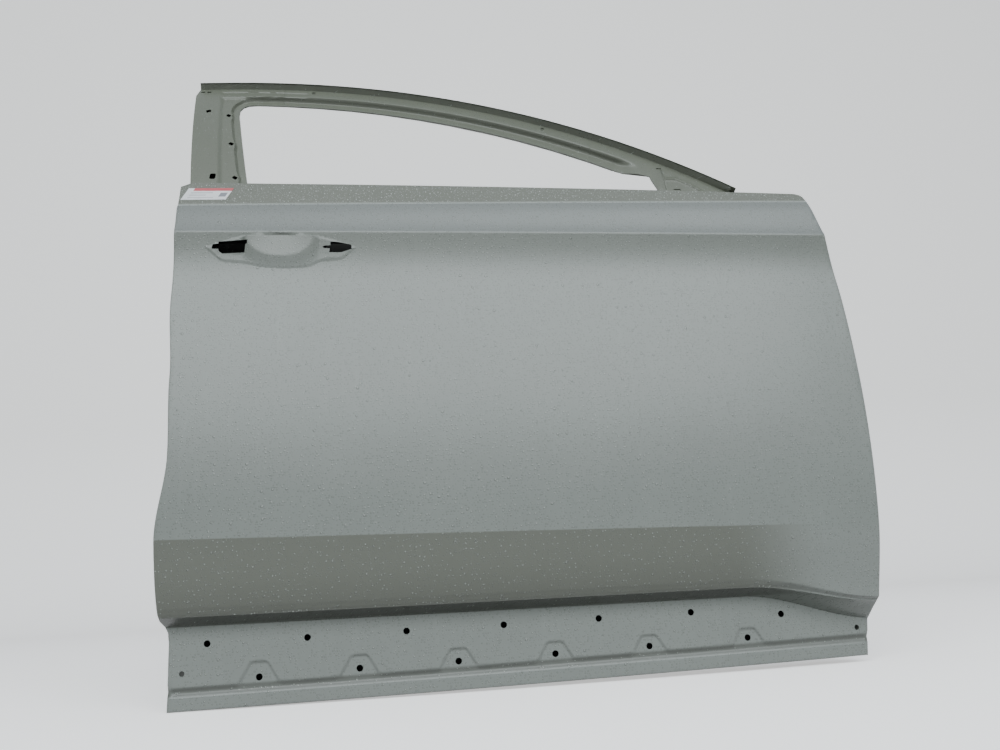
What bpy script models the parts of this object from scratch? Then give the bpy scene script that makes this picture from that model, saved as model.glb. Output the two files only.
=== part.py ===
"""Right-hand front car door shell: bare stamped steel with its window frame, before paint and trim.

Axes: +X to the front of the car, +Y inboard, +Z up, in metres. The world origin is the middle of
the lower hinge pad on the front face. Every piece is modelled in door coordinates (x from the hinge
face, y from the plane of the cladding recess, z from the rear bottom corner) and hangs on one empty.
"""

import math

import bmesh
import bpy
from mathutils import Vector
from mathutils.geometry import delaunay_2d_cdt

# Overall form
DOOR_LENGTH = 1.120  # hinge face to rear edge
FRONT_OVERHANG = 0.030  # skin ahead of the hinge face, at its widest
FRONT_CROWN_HEIGHT = 0.600  # height at which the front edge is furthest forward
FRONT_LOW_SWEEP = 0.0535  # how far the front edge falls back at the bottom
FRONT_TOP_SWEEP = 0.0387  # how far it would fall back at the belt
PLAN_RADIUS = 10.0  # crown of the whole side seen from above
WIDEST_X = -0.760  # where that crown is furthest out
BOTTOM_RISE = 0.010  # the bottom edge rises this much from rear to hinge face

# Heights of the lines along the skin at the rear edge, at the hinge face, and their sag between
CREASE = (0.248, 0.216, 0.0)
SHOULDER = (0.764, 0.738, 0.0055)
JOGGLE = (0.821, 0.812, 0.0068)
BELT = (0.867, 0.831, 0.0048)
NOSE = (0.136, 0.126, 0.0)

# Skin section, depths positive inboard of the recess plane
CREASE_DEPTH = -0.050
NOSE_DEPTH = -0.026
NOSE_STEP = 0.003
UNDER_NOSE = 0.0165
OVER_NOSE = 0.010
SHOULDER_DEPTH = -0.0125
COVE_DEPTH = -0.010
COVE_HEIGHT = 0.090
JOGGLE_DEPTH = 0.006
JOGGLE_STEP = 0.003
BELT_DEPTH = 0.011
BELT_SLOPE = 0.05
GROOVE_FOOT = 0.017
GROOVE_MIDDLE = 0.025
GROOVE_TOP = 0.034
GROOVE_DEPTH = 0.004
LIP_FALL = 0.030  # the cladding lip falls this much at the front
LIP_FALL_LENGTH = 0.220
LIP_FALL_SPREAD = 0.014
TUCK_END = 0.080  # the tucked band has faded out this far behind the hinge face
TUCK_FADE = 0.170
REAR_SWEEP = 0.020  # how far the rear edge wanders
REAR_SWEEP_SHARES = (
    (0.00, 0.25), (0.12, 0.20), (0.153, -0.32), (0.29, -0.45), (0.43, 0.20),
    (0.58, -0.10), (0.74, -0.60), (0.88, -0.65), (1.00, -0.90),
)
TOP_FRONT_ROUND = 0.022
TOP_REAR_CUT = 0.024

# Sheets
SKIN_T = 0.00075
PANEL_T = 0.0007
FRAME_T = 0.0010
HEAVY_T = 0.0016
GAP = 0.0003
HEM_RETURN = 0.008
HEM_TRIM = 0.0012  # the inner flange stops this far short of the fold

# Trim holes and their recessed pads
HOLE_PITCH = 0.150
HOLE_R = 0.0050
END_HOLE_R = 0.0040
UPPER_ROW_Z = 0.093
UPPER_ROW_START = 0.060  # from the rear edge
UPPER_ROW_COUNT = 7
LAST_UPPER_DROP = 0.012
LOWER_ROW_Z = 0.045
LOWER_ROW_START = 0.138
LOWER_ROW_COUNT = 6
END_HOLE_Z = 0.052
REAR_END_HOLE = 0.024  # from the rear edge
FRONT_END_HOLE = 0.033  # from the hinge face
PAD_TOP_HALF = 0.0125
PAD_FOOT_HALF = 0.0330
PAD_TOP_Z = 0.064
PAD_FOOT_Z = 0.031
PAD_WALL = 0.0050
PAD_DEPTH = 0.0016

# Handle pocket
POCKET_MIDDLE = 0.165  # from the rear edge
POCKET_HALF = 0.127
POCKET_RISE = 0.026
POCKET_FALL = 0.026
POCKET_BELOW = 0.0275  # the tips lie this far below the shoulder crease
POCKET_FOOT_SHARES = (
    (-1.00, 0.0), (-0.78, 1.0), (-0.48, 1.10), (-0.28, 1.34), (0.10, 1.48),
    (0.40, 1.34), (0.52, 0.95), (0.82, 0.85), (1.00, 0.0),
)
POCKET_WALL = 0.0035
POCKET_PROUD = 0.0014  # the pad round the handle holes stands this proud
SCOOP_HALF = 0.058
SCOOP_HEIGHT = 0.040
SCOOP_DEPTH = 0.0105
SCOOP_BELOW = 0.0025
RIM_PROUD = 0.0030
RIM_SPREAD_SHARE = 1.16  # the rim beside the scoop ends at this share of its half width
REAR_SLOT_SHIFT = -0.080
REAR_SLOT_LENGTH = 0.062
REAR_SLOT_HEIGHT = 0.022
REAR_SLOT_SHARES = (
    (-0.39, 0.50), (0.41, 0.46), (0.36, 0.10), (0.32, -0.50), (-0.32, -0.42),
    (-0.44, -0.20), (-0.59, 0.0), (-0.55, 0.36), (-0.39, 0.36),
)
FRONT_SLOT_SHIFT = 0.098
FRONT_SLOT_LENGTH = 0.046
FRONT_SLOT_HEIGHT = 0.020
FRONT_SLOT_SHARES = (
    (-0.30, 0.50), (0.02, 0.45), (0.46, 0.20), (0.48, -0.20), (0.08, -0.48),
    (-0.35, -0.40), (-0.35, -0.10), (-0.53, 0.05), (-0.48, 0.20), (-0.30, 0.20),
)

# Window frame
FRAME_STEP = 0.010  # the frame plane lies this far outboard of the skin's belt edge
FRAME_LEAN = math.radians(18)
FRAME_RADIUS = 1.260
ROOF_RISE = 0.282  # roof line above the belt, at the rear
ROOF_Z = BELT[0] + ROOF_RISE
ROOF_START = 0.020  # from the rear edge, where the roof line starts to fall
ROOF_END = 0.132  # from the hinge face, where it runs out on the belt
ROOF_RUN = DOOR_LENGTH - ROOF_START - ROOF_END
ROOF_DROP_SHARE = 1.1064
ROOF_DROP = ROOF_DROP_SHARE * ROOF_RISE
ROOF_POWER = 2.05
FLANGE_W = 0.009
BAND_W = 0.030
CHANNEL_W = 0.041
HEADER_W = 0.052
HEADER_GROWTH = 0.010
FLANGE_DEPTH = 0.0154
CHANNEL_DEPTH = 0.0133
PILLAR_FOOT_X = 0.001  # the pillar's rear edge at the belt, ahead of the skin's rear edge
PILLAR_LEAN = 0.036  # how far it leans back up to the roof
PILLAR_CUT = 0.030
PILLAR_W = 0.096
PILLAR_TAPER = 0.020
PILLAR_BEAD = (0.045, 0.055)
PILLAR_STEP = (0.016, 0.011)  # from the window opening
PILLAR_BEAD_DEPTH = 0.0061
OPENING_ROUND = 0.036
REAR_SEAM = 0.140  # from the rear edge
FRONT_SEAM = 0.390  # from the hinge face
SAIL_REAR = 0.302
SAIL_SLIT = (0.276, 0.260)
SLIT_W = 0.006
SLIT_BELOW = 0.0223  # its top below the roof edge
STRIP_W = 0.014
FRAME_TAIL = 0.030  # outer frame sheets run this far below the belt
LEG_TAIL = 0.100  # the inner frame's legs run this far below it
BOX_DEPTH = 0.020
WELD_FLANGE = 0.008
BOX_WALL = 0.008
LEG_CLEAR = 0.004
SAIL_NOSE = 0.030
SAIL_MARGIN = 0.006
SAIL_LEG = (0.205, 0.215)
SLOT_LINE = 0.020
SLOT_W = 0.007
HEADER_SLOT_L = 0.011
HEADER_SLOT_SHARES = (0.098, 0.856)  # of the header rail, from its rear seam
STEP_SLOTS = (0.096, 0.180, 0.266)  # below the roof, in a row beside the pillar's step
STEP_SLOT = (0.0085, 0.0042, -0.6)  # length, width and tilt in radians
STEP_SLOT_INSET = 0.0205  # from the window opening
PILLAR_SLOTS = (
    # ahead of the rear edge, below the roof, length, width, tilt in radians
    (0.0128, 0.018, 0.008, 0.004, 0.0), (0.0248, 0.018, 0.008, 0.004, 0.0),
    (0.0273, 0.084, 0.0085, 0.006, 0.3), (0.0385, 0.264, 0.0095, 0.0085, 0.0),
)

# Inner panel
INNER_LOW = 0.076  # its face from the recess plane, at the bottom
INNER_TOP = 0.094  # and at the belt
REAR_WALL = 0.022  # latch face ahead of the rear edge
EDGE_FLANGE = 0.014
BOTTOM_FLANGE = 0.0155
BOTTOM_DRAFT = 0.010
SPEAKER = (-0.210, 0.230)
SPEAKER_R = 0.080
ACCESS_SHARES = (
    ((0.155, 0.36), (0.155, 0.78), (0.40, 0.78), (0.40, 0.36)),
    ((0.46, 0.36), (0.46, 0.78), (0.70, 0.78), (0.70, 0.52), (0.62, 0.36)),
)

# Hinges and latch
HINGE_Y = 0.052
LOWER_HINGE_SHARE = 0.59167  # of the height at which the front edge is furthest forward
LOWER_HINGE_Z = LOWER_HINGE_SHARE * FRONT_CROWN_HEIGHT
HINGE_SPACING = 0.340
HINGE_BOLT_PITCH = 0.044
HINGE_BOLT_R = 0.0055
HINGE_PLATE = (0.056, 0.092)
HINGE_SEAT = (0.050, 0.086)
SEAT_RISE = 0.0010
NUT_R = 0.0085
NUT_H = 0.0075
CHECK_Z = LOWER_HINGE_Z + HINGE_SPACING / 2
CHECK_SLOT = (0.014, 0.034)
CHECK_SEAT = (0.046, 0.070)
CHECK_PLATE = (0.052, 0.070)
GROMMET_R = 0.016
GROMMET_RISE = 0.240  # above the lower hinge
GROMMET_Z = LOWER_HINGE_Z + GROMMET_RISE
LATCH_Z = 0.640
LATCH_SLOT = (0.030, 0.052)
LATCH_PLATE = (0.062, 0.110)
OVERRUN = 0.010

# Inside pieces
BEAM_R = 0.015
BEAM_T = 0.0020
BEAM_RISE = 0.088  # its front end above the lower hinge
BEAM_FRONT_Z = LOWER_HINGE_Z + BEAM_RISE
BEAM_REAR_Z = 0.335
BEAM_CLEAR = 0.004
BEAM_SETBACK = 0.036
BRACKET_W = 0.052
BRACKET_SLACK = 0.0012
MASTIC_SHARES = (0.22, 0.48, 0.76)
PAD_R = 0.014
RUN_W = 0.016
RUN_D = 0.014
REAR_RUN_LENGTH = 0.330
FRONT_RUN_LENGTH = 0.360
RAIL_H = 0.044
RAIL_D = 0.008
RAIL_LINES = (0.004, 0.012, 0.018)
HANDLE_MARGIN = 0.022
HANDLE_CLEAR = 0.0024  # from the deepest point of the scoop's outer face
HANDLE_HOLE_R = 0.018
LABEL_W = 0.078
LABEL_H = 0.022
LABEL_T = 0.0002
LABEL_INSET = 0.019
LABEL_DROP = 0.011
LABEL_SKEW_SHARE = 0.62

# Facets
COLUMNS = 14
SCOOP_RINGS = (1.0, 0.78, 0.52, 0.26)
SCOOP_SIDES = 12
PRIMER = (0.300, 0.325, 0.305)
INNER_PRIMER = (0.270, 0.295, 0.275)


# Shared curves
def smooth(t):
    t = min(1.0, max(0.0, t))
    return t * t * (3 - 2 * t)


def ramp(value, start, end):
    return min(1.0, max(0.0, (value - start) / (end - start)))


def rearness(x):
    """0 at the rear edge, 1 at the hinge face."""
    return (x + DOOR_LENGTH) / DOOR_LENGTH


def line_height(line, x):
    rear, front, sag = line
    u = rearness(x)
    return rear + (front - rear) * u - 4 * sag * u * (1 - u)


def plan(x):
    return (x - WIDEST_X) ** 2 / (2 * PLAN_RADIUS)


def bottom(x):
    return BOTTOM_RISE * rearness(x)


def lip_fall(x):
    return smooth((x + LIP_FALL_LENGTH) / LIP_FALL_LENGTH)


def nose(x):
    return line_height(NOSE, x) - LIP_FALL * lip_fall(x)


def under_nose(x):
    return nose(x) - UNDER_NOSE - LIP_FALL_SPREAD * lip_fall(x)


def over_nose(x):
    return nose(x) + OVER_NOSE * (1 - 0.6 * lip_fall(x))


def tuck(x):
    """1 where the band below the crease tucks in, 0 at the front where it has faded out."""
    return 1 - smooth((x + TUCK_END + TUCK_FADE) / TUCK_FADE)


def hermite(a, b, z):
    """Height b over a, each (z, depth, slope before, slope after)."""
    run = b[0] - a[0]
    t = (z - a[0]) / run
    return (
        (2 * t**3 - 3 * t**2 + 1) * a[1]
        + (t**3 - 2 * t**2 + t) * run * a[3]
        + (3 * t**2 - 2 * t**3) * b[1]
        + (t**3 - t**2) * run * b[2]
    )


def skin_knots(x):
    """(z, depth, slope below, slope above) up the skin's section at x."""
    foot, t = bottom(x), tuck(x)
    nose_depth = NOSE_DEPTH + (CREASE_DEPTH - NOSE_DEPTH) * 0.4 * (1 - t)
    joggle = line_height(JOGGLE, x)
    shoulder = line_height(SHOULDER, x)
    return (
        (foot, 0, 0, 0),
        (foot + GROOVE_FOOT, 0, 0, 0),
        (foot + GROOVE_MIDDLE, GROOVE_DEPTH, 0, 0),
        (foot + GROOVE_TOP, 0, 0, 0),
        (under_nose(x), 0, 0, -1.6),
        (nose(x) - 0.7 * NOSE_STEP, nose_depth + NOSE_STEP, -1.6, -0.1),
        (nose(x), nose_depth + 0.9 * NOSE_STEP, -0.1, -0.7),
        (over_nose(x), nose_depth - NOSE_STEP, -0.7, -0.08 - 0.35 * t),
        (line_height(CREASE, x), CREASE_DEPTH, -0.10 * t, 0),
        (shoulder - COVE_HEIGHT, COVE_DEPTH, 0.15, 0.15),
        (shoulder, SHOULDER_DEPTH, -0.17, 0.40),
        (joggle, JOGGLE_DEPTH, 0.40, 0.40),
        (joggle + JOGGLE_STEP, JOGGLE_DEPTH + JOGGLE_STEP, 0.10, BELT_SLOPE),
        (line_height(BELT, x), BELT_DEPTH, BELT_SLOPE, BELT_SLOPE),
    )


def panel_depth(x, z):
    """Outer face of the skin without its pads and pocket."""
    knots = skin_knots(x)
    if z <= knots[0][0]:
        return plan(x) + knots[0][1]
    for low, high in zip(knots, knots[1:]):
        if z <= high[0]:
            return plan(x) + hermite(low, high, z)
    return plan(x) + knots[-1][1] + (z - knots[-1][0]) * knots[-1][3]


def pad_middles():
    first = LOWER_ROW_START - DOOR_LENGTH
    return [first + k * HOLE_PITCH for k in range(LOWER_ROW_COUNT)]


def pad_share(x, z):
    """1 on the floor of a recessed pad, 0 outside it."""
    best = 0.0
    slope = (PAD_FOOT_HALF - PAD_TOP_HALF) / (PAD_TOP_Z - PAD_FOOT_Z)
    for middle in pad_middles():
        half = PAD_TOP_HALF + (PAD_TOP_Z - z) * slope
        inside = min(PAD_TOP_Z - z, (half - abs(x - middle)) / math.hypot(1, slope))
        best = max(best, min(1.0, max(0.0, inside / PAD_WALL)))
    foot = (z - bottom(x) - GROOVE_MIDDLE) / (GROOVE_TOP - GROOVE_MIDDLE)
    return best * min(1.0, max(0.0, foot))


def pocket_line(x):
    """Height of the line that joins the pocket's two tips."""
    return line_height(SHOULDER, x) - POCKET_BELOW


def between(shares, s):
    """Value at s of the line through (place, value) pairs."""
    for low, high in zip(shares, shares[1:]):
        if s <= high[0]:
            return low[1] + (high[1] - low[1]) * (s - low[0]) / (high[0] - low[0])
    return shares[-1][1]


def pocket_edges(x):
    """Lower and upper edge of the pocket at x, or None beyond its tips."""
    s = (x + DOOR_LENGTH - POCKET_MIDDLE) / POCKET_HALF
    if abs(s) >= 1:
        return None
    low = pocket_line(x) - POCKET_FALL * between(POCKET_FOOT_SHARES, s)
    return low, pocket_line(x) + POCKET_RISE * (1 - s * s)


def scoop_across(x):
    return (x + DOOR_LENGTH - POCKET_MIDDLE) / SCOOP_HALF


def scoop_top(x):
    return line_height(SHOULDER, x) - SCOOP_BELOW


def scoop_bowl(x, z):
    """0 from the rim of the finger scoop outwards, 1 at its deepest."""
    return max(0.0, 1 - scoop_across(x) ** 2 - ((scoop_top(x) - z) / SCOOP_HEIGHT) ** 2)


def rim_share(x, z, foot):
    """1 on the rim of the scoop, 0 at the pocket's lower edge and a little beside the scoop."""
    across = abs(scoop_across(x))
    crest = scoop_top(x) - SCOOP_HEIGHT * math.sqrt(1 - min(1.0, across) ** 2)
    return ramp(z, foot, max(crest, foot + POCKET_WALL)) * ramp(across, RIM_SPREAD_SHARE, 1.0)


def pocket_depth(x, z):
    """The handle pocket: a pad a little proud of the skin, and a finger scoop in a proud rim."""
    edges = pocket_edges(x)
    if edges is None or not edges[0] < z < edges[1]:
        return 0.0
    wall = min(1.0, min(z - edges[0], edges[1] - z) / POCKET_WALL)
    bowl = (SCOOP_DEPTH + RIM_PROUD) * scoop_bowl(x, z)
    return wall * (bowl - RIM_PROUD * rim_share(x, z, edges[0]) - POCKET_PROUD)


def skin_depth(x, z):
    return panel_depth(x, z) + pad_share(x, z) * PAD_DEPTH + pocket_depth(x, z)


def steepness(depth, x, z):
    """Length along the surface for each unit of height, at its steepest near (x, z)."""
    step = SKIN_T
    here = depth(x, z)
    slopes = [abs(depth(x, z + d) - here) / step for d in (-step, step)]
    return math.hypot(1, max(slopes))


def rear_edge(z):
    share = min(1.0, max(0.0, z / BELT[0]))
    for low, high in zip(REAR_SWEEP_SHARES, REAR_SWEEP_SHARES[1:]):
        if share <= high[0]:
            t = smooth((share - low[0]) / (high[0] - low[0]))
            return -DOOR_LENGTH + REAR_SWEEP * (low[1] + (high[1] - low[1]) * t)
    return -DOOR_LENGTH + REAR_SWEEP * REAR_SWEEP_SHARES[-1][1]


def front_edge(z):
    if z < FRONT_CROWN_HEIGHT:
        share = 1 - z / FRONT_CROWN_HEIGHT
        return FRONT_OVERHANG - FRONT_LOW_SWEEP * share**2
    share = (z - FRONT_CROWN_HEIGHT) / (BELT[0] - FRONT_CROWN_HEIGHT)
    return FRONT_OVERHANG - FRONT_TOP_SWEEP * share**2


# Window frame curves
def roof(x):
    run = max(0.0, x + DOOR_LENGTH - ROOF_START) / ROOF_RUN
    return ROOF_Z - ROOF_DROP * run**ROOF_POWER


def roof_cosine(x):
    step = FLANGE_W
    return 1 / math.hypot(1, (roof(x + step) - roof(x - step)) / (2 * step))


def below_roof(x, z):
    """Distance below the roof edge, square to it."""
    return (roof(x) - z) * roof_cosine(x)


def at_below(x, distance):
    return roof(x) - distance / roof_cosine(x)


def header_width(x):
    return HEADER_W + HEADER_GROWTH * rearness(x)


def pillar_edge(z):
    """The pillar's rear edge."""
    share = (z - BELT[0]) / (ROOF_Z - BELT[0])
    return -DOOR_LENGTH + PILLAR_FOOT_X - PILLAR_LEAN * share


def run_drift(drop):
    """How far forward both glass runs move over a drop: parallel to the pillar's front edge."""
    return (PILLAR_LEAN + PILLAR_TAPER) / (ROOF_Z - BELT[0]) * drop


def pillar_width(z):
    return PILLAR_W - PILLAR_TAPER * (z - BELT[0]) / (ROOF_Z - BELT[0])


def frame_plane(x, z):
    belt = line_height(BELT, x)
    foot = panel_depth(x, belt) - FRAME_STEP
    if z <= belt:
        return foot + BELT_SLOPE * (z - belt)
    lean = FRAME_LEAN + (z - belt) / FRAME_RADIUS
    return foot + FRAME_RADIUS * math.log(math.cos(FRAME_LEAN) / math.cos(lean))


def sail_share(x):
    """1 along the header, 0 on the flat sail panel at its front."""
    return 1 - smooth((x + SAIL_REAR + STRIP_W * 3) / (STRIP_W * 3))


def frame_relief(x, z):
    """How far the outer frame sheets lie inboard of the frame plane."""
    e = below_roof(x, z)
    g = x - pillar_edge(z)
    channel = CHANNEL_DEPTH * ramp(e, BAND_W, CHANNEL_W)
    pillar = PILLAR_BEAD_DEPTH * ramp(g, *PILLAR_BEAD)
    pillar += (CHANNEL_DEPTH - PILLAR_BEAD_DEPTH) * ramp(pillar_width(z) - g, *PILLAR_STEP)
    flange = max(ramp(e, 0.0, FLANGE_W), ramp(line_height(BELT, x) + FLANGE_W - z, 0.0, FLANGE_W))
    return FLANGE_DEPTH * flange + min(channel, pillar) * sail_share(x)


def frame_outer(x, z):
    return frame_plane(x, z) + frame_relief(x, z)


# Scene helpers
def clear_scene():
    for old in list(bpy.data.objects):
        bpy.data.objects.remove(old)


def new_collection(name):
    made = bpy.data.collections.new(name)
    bpy.context.scene.collection.children.link(made)
    return made


clear_scene()
DOOR = new_collection("car_door_shell")
CUTTERS = new_collection("cutters")
ROOT = bpy.data.objects.new("door_origin", None)
DOOR.objects.link(ROOT)
ROOT.location = (0, -HINGE_Y, -LOWER_HINGE_Z)


def material(name, colour, roughness, metallic=0.0):
    made = bpy.data.materials.new(name)
    made.use_nodes = True
    shader = made.node_tree.nodes["Principled BSDF"]
    shader.inputs["Base Color"].default_value = (*colour, 1)
    shader.inputs["Roughness"].default_value = roughness
    shader.inputs["Metallic"].default_value = metallic
    made.diffuse_color = (*colour, 1)
    return made


PRIMED = material("primed_steel", PRIMER, 0.45)
PRIMED_INSIDE = material("primed_steel_inside", INNER_PRIMER, 0.5)
MASTIC = material("mastic", (0.05, 0.05, 0.05), 0.8)
LABEL = material("label_paper", (0.82, 0.82, 0.86), 0.5)


def add_object(name, bm, finish, collection=None):
    mesh = bpy.data.meshes.new(name)
    bm.to_mesh(mesh)
    bm.free()
    made = bpy.data.objects.new(name, mesh)
    made.parent = ROOT
    if finish:
        mesh.materials.append(finish)
    (collection or DOOR).objects.link(made)
    return made


def inside(points, x, z):
    """Whether (x, z) lies inside the closed outline."""
    found = False
    for (ax, az), (bx, bz) in zip(points, points[1:] + points[:1]):
        if (az > z) != (bz > z) and x < ax + (z - az) * (bx - ax) / (bz - az):
            found = not found
    return found


def triangulate(outline, holes, lines):
    """Corners and triangles of a flat blank, with its creases and holes as edges."""
    corners, edges = [], []

    def add(points, closed):
        first = len(corners)
        corners.extend(Vector(p) for p in points)
        ends = len(points) - (0 if closed else 1)
        edges.extend((first + k, first + (k + 1) % len(points)) for k in range(ends))

    add(outline, True)
    for hole in holes:
        add(hole, True)
    for line in lines:
        add(line, False)
    found = delaunay_2d_cdt(corners, edges, [], 1, GAP / 30)
    made = [tuple(v) for v in found[0]]
    kept = []
    for face in found[2]:
        x = sum(made[k][0] for k in face) / 3
        z = sum(made[k][1] for k in face) / 3
        if inside(outline, x, z) and not any(inside(hole, x, z) for hole in holes):
            kept.append(face)
    return made, kept


def blank(outline, holes, lines):
    """Flat open blank in the plane y = 0."""
    corners, faces = triangulate(outline, holes, lines)
    bm = bmesh.new()
    verts = [bm.verts.new((x, 0, z)) for x, z in corners]
    for face in faces:
        bm.faces.new([verts[k] for k in face])
    bmesh.ops.delete(bm, geom=[v for v in bm.verts if not v.link_faces], context="VERTS")
    return bm


def face_inboard(bm):
    """Turn an open surface's normals the same way, towards +Y on the whole."""
    bmesh.ops.recalc_face_normals(bm, faces=bm.faces)
    bm.normal_update()
    if sum(face.normal.y * face.calc_area() for face in bm.faces) < 0:
        bmesh.ops.reverse_faces(bm, faces=bm.faces)


def thicken(made, thickness, outwards=False):
    solid = made.modifiers.new("sheet", "SOLIDIFY")
    solid.thickness = thickness
    solid.offset = 1 if outwards else -1
    solid.use_even_offset = True
    solid.use_quality_normals = True
    return made


def cut(made, cutter, operation="DIFFERENCE"):
    cutter.hide_render = True
    cutter.display_type = "WIRE"
    boolean = made.modifiers.new("cut", "BOOLEAN")
    boolean.operation = operation
    boolean.object = cutter


def press(made, depth):
    """Carry a flat sheet onto y = depth(x, z), keeping its thickness square to the form."""
    graph = bpy.context.evaluated_depsgraph_get()
    formed = bpy.data.meshes.new_from_object(made.evaluated_get(graph))
    for v in formed.vertices:
        x, y, z = v.co
        v.co.y = depth(x, z) + y * steepness(depth, x, z)
    made.modifiers.clear()
    made.data = formed
    return made


def sheet(name, outline, holes, lines, depth, thickness, finish=None):
    """Stamped sheet whose outer face is y = depth(x, z)."""
    bm = blank(outline, holes, lines)
    made = thicken(add_object(name, bm, finish or PRIMED), thickness)
    return press(made, depth)


def round_hole(x, z, radius, sides=10):
    turns = [2 * math.pi * k / sides for k in range(sides)]
    return [(x + radius * math.cos(t), z + radius * math.sin(t)) for t in turns]


def spread(start, end, count):
    return [start + (end - start) * k / count for k in range(count + 1)]


def bend(a, corner, b, count=3):
    """Points of a rounded corner between a and b, without its ends."""
    made = []
    for k in range(1, count):
        t = k / count
        p = [(1 - t) ** 2 * a[i] + 2 * t * (1 - t) * corner[i] + t * t * b[i] for i in (0, 1)]
        made.append(tuple(p))
    return made


def box(name, low, high, finish=None, collection=None):
    bm = bmesh.new()
    bmesh.ops.create_cube(bm, size=1.0)
    for v in bm.verts:
        v.co = [low[i] + (v.co[i] + 0.5) * (high[i] - low[i]) for i in range(3)]
    return add_object(name, bm, finish, collection)


def rod(name, middle, axis, radius, length, finish=None, collection=None, sides=16):
    """Cylinder about its middle, along axis X, Y or Z."""
    bm = bmesh.new()
    bmesh.ops.create_cone(
        bm, cap_ends=True, segments=sides, radius1=radius, radius2=radius, depth=length
    )
    made = add_object(name, bm, finish, collection)
    made.location = middle
    made.rotation_euler = {
        "X": (0, math.pi / 2, 0), "Y": (math.pi / 2, 0, 0), "Z": (0, 0, 0)
    }[axis]
    return made


def loft(name, sections, finish=None):
    """Solid through closed sections that have as many corners each, with flat ends."""
    bm = bmesh.new()
    rings = [[bm.verts.new(p) for p in section] for section in sections]
    for near, far in zip(rings, rings[1:]):
        for k in range(len(near)):
            n = (k + 1) % len(near)
            bm.faces.new((near[k], near[n], far[n], far[k]))
    bm.faces.new(rings[0])
    bm.faces.new(rings[-1])
    bmesh.ops.recalc_face_normals(bm, faces=bm.faces)
    return add_object(name, bm, finish or PRIMED_INSIDE)


# Outer skin
def skin_levels():
    """The lines that run the length of the skin, from the bottom up."""
    def cove(share):
        return lambda x: line_height(SHOULDER, x) - COVE_HEIGHT * share

    def main(share):
        def level(x):
            low = line_height(CREASE, x)
            return low + (line_height(SHOULDER, x) - COVE_HEIGHT - low) * share
        return level

    def tucked(share):
        return lambda x: over_nose(x) + (line_height(CREASE, x) - over_nose(x)) * share

    def recess(share):
        low = GROOVE_TOP
        return lambda x: bottom(x) + low + (under_nose(x) - bottom(x) - low) * share

    def grooved(height):
        return lambda x: bottom(x) + height

    return [
        grooved(GROOVE_FOOT),
        grooved(GROOVE_MIDDLE),
        grooved(GROOVE_TOP),
        recess(0.5),
        under_nose,
        lambda x: nose(x) - 0.7 * NOSE_STEP,
        nose,
        over_nose,
        tucked(0.35),
        tucked(0.7),
        lambda x: line_height(CREASE, x),
        main(0.2),
        main(0.4),
        main(0.6),
        main(0.8),
        cove(1.0),
        cove(0.65),
        cove(0.3),
        lambda x: line_height(SHOULDER, x),
        lambda x: (line_height(SHOULDER, x) + line_height(JOGGLE, x)) / 2,
        lambda x: line_height(JOGGLE, x),
        lambda x: line_height(JOGGLE, x) + JOGGLE_STEP,
    ]


def at_edge(level, edge):
    """The point at which a level meets an edge curve x = edge(z)."""
    x = edge(level(-DOOR_LENGTH / 2))
    for _ in range(8):
        x = edge(level(x))
    return x, level(x)


def columns(start, end):
    return spread(start, end, COLUMNS)


def border(rear, rise, front):
    """Rear top, down, along the bottom and up to the front top, between two edge curves."""
    levels = skin_levels()
    start, end = rear(rise), front(rise)
    down = [at_edge(level, rear) for level in levels][::-1]
    along = [(x, bottom(x) + rise) for x in columns(start, end)]
    return down + along + [at_edge(level, front) for level in levels]


def inset_border(inset):
    """The hemmed edge of the skin, moved in by that much along its own level lines."""
    return border(lambda z: rear_edge(z) + inset, inset, lambda z: front_edge(z) - inset)


def wall_border(rise):
    """The foot of the inner panel's walls, on their cavity side."""
    return border(lambda z: rear_wall(z) + PANEL_T, rise, lambda z: front_wall(z) - PANEL_T)


def skin_outline():
    corner_x = front_edge(line_height(BELT, 0.0))
    corner = (corner_x, line_height(BELT, corner_x))
    before_z = corner[1] - TOP_FRONT_ROUND / 2
    before = (front_edge(before_z), before_z)
    after = (corner[0] - TOP_FRONT_ROUND, line_height(BELT, corner[0] - TOP_FRONT_ROUND))
    start = rear_edge(BELT[0])
    cut_x = start + TOP_REAR_CUT
    top = [(x, line_height(BELT, x)) for x in columns(after[0], cut_x)]
    middle = (start + TOP_REAR_CUT / 5, line_height(BELT, start) - TOP_REAR_CUT / 3)
    path = [p for p in inset_border(0.0) if p[1] < before[1] or p[0] < WIDEST_X]
    return path + [before] + bend(before, corner, after) + top + [middle]


def skin_lines():
    rims = inset_border(0.0)
    feet = wall_border(BOTTOM_FLANGE)
    count = len(skin_levels())
    lines = []
    for k, level in enumerate(skin_levels()):
        rear, rear_foot = rims[count - 1 - k], feet[count - 1 - k]
        front, front_foot = rims[k - count], feet[k - count]
        xs = [x for x in skin_columns() if rear_foot[0] < x < front_foot[0]]
        lines.append([rear, rear_foot] + [(x, level(x)) for x in xs] + [front_foot, front])
    return lines


def skin_columns():
    """Stations along the skin, closer where the cladding lip falls at the front."""
    near = -LIP_FALL_LENGTH
    return columns(-DOOR_LENGTH, near)[1:-1] + spread(near, 0.0, COLUMNS // 2)


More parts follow.
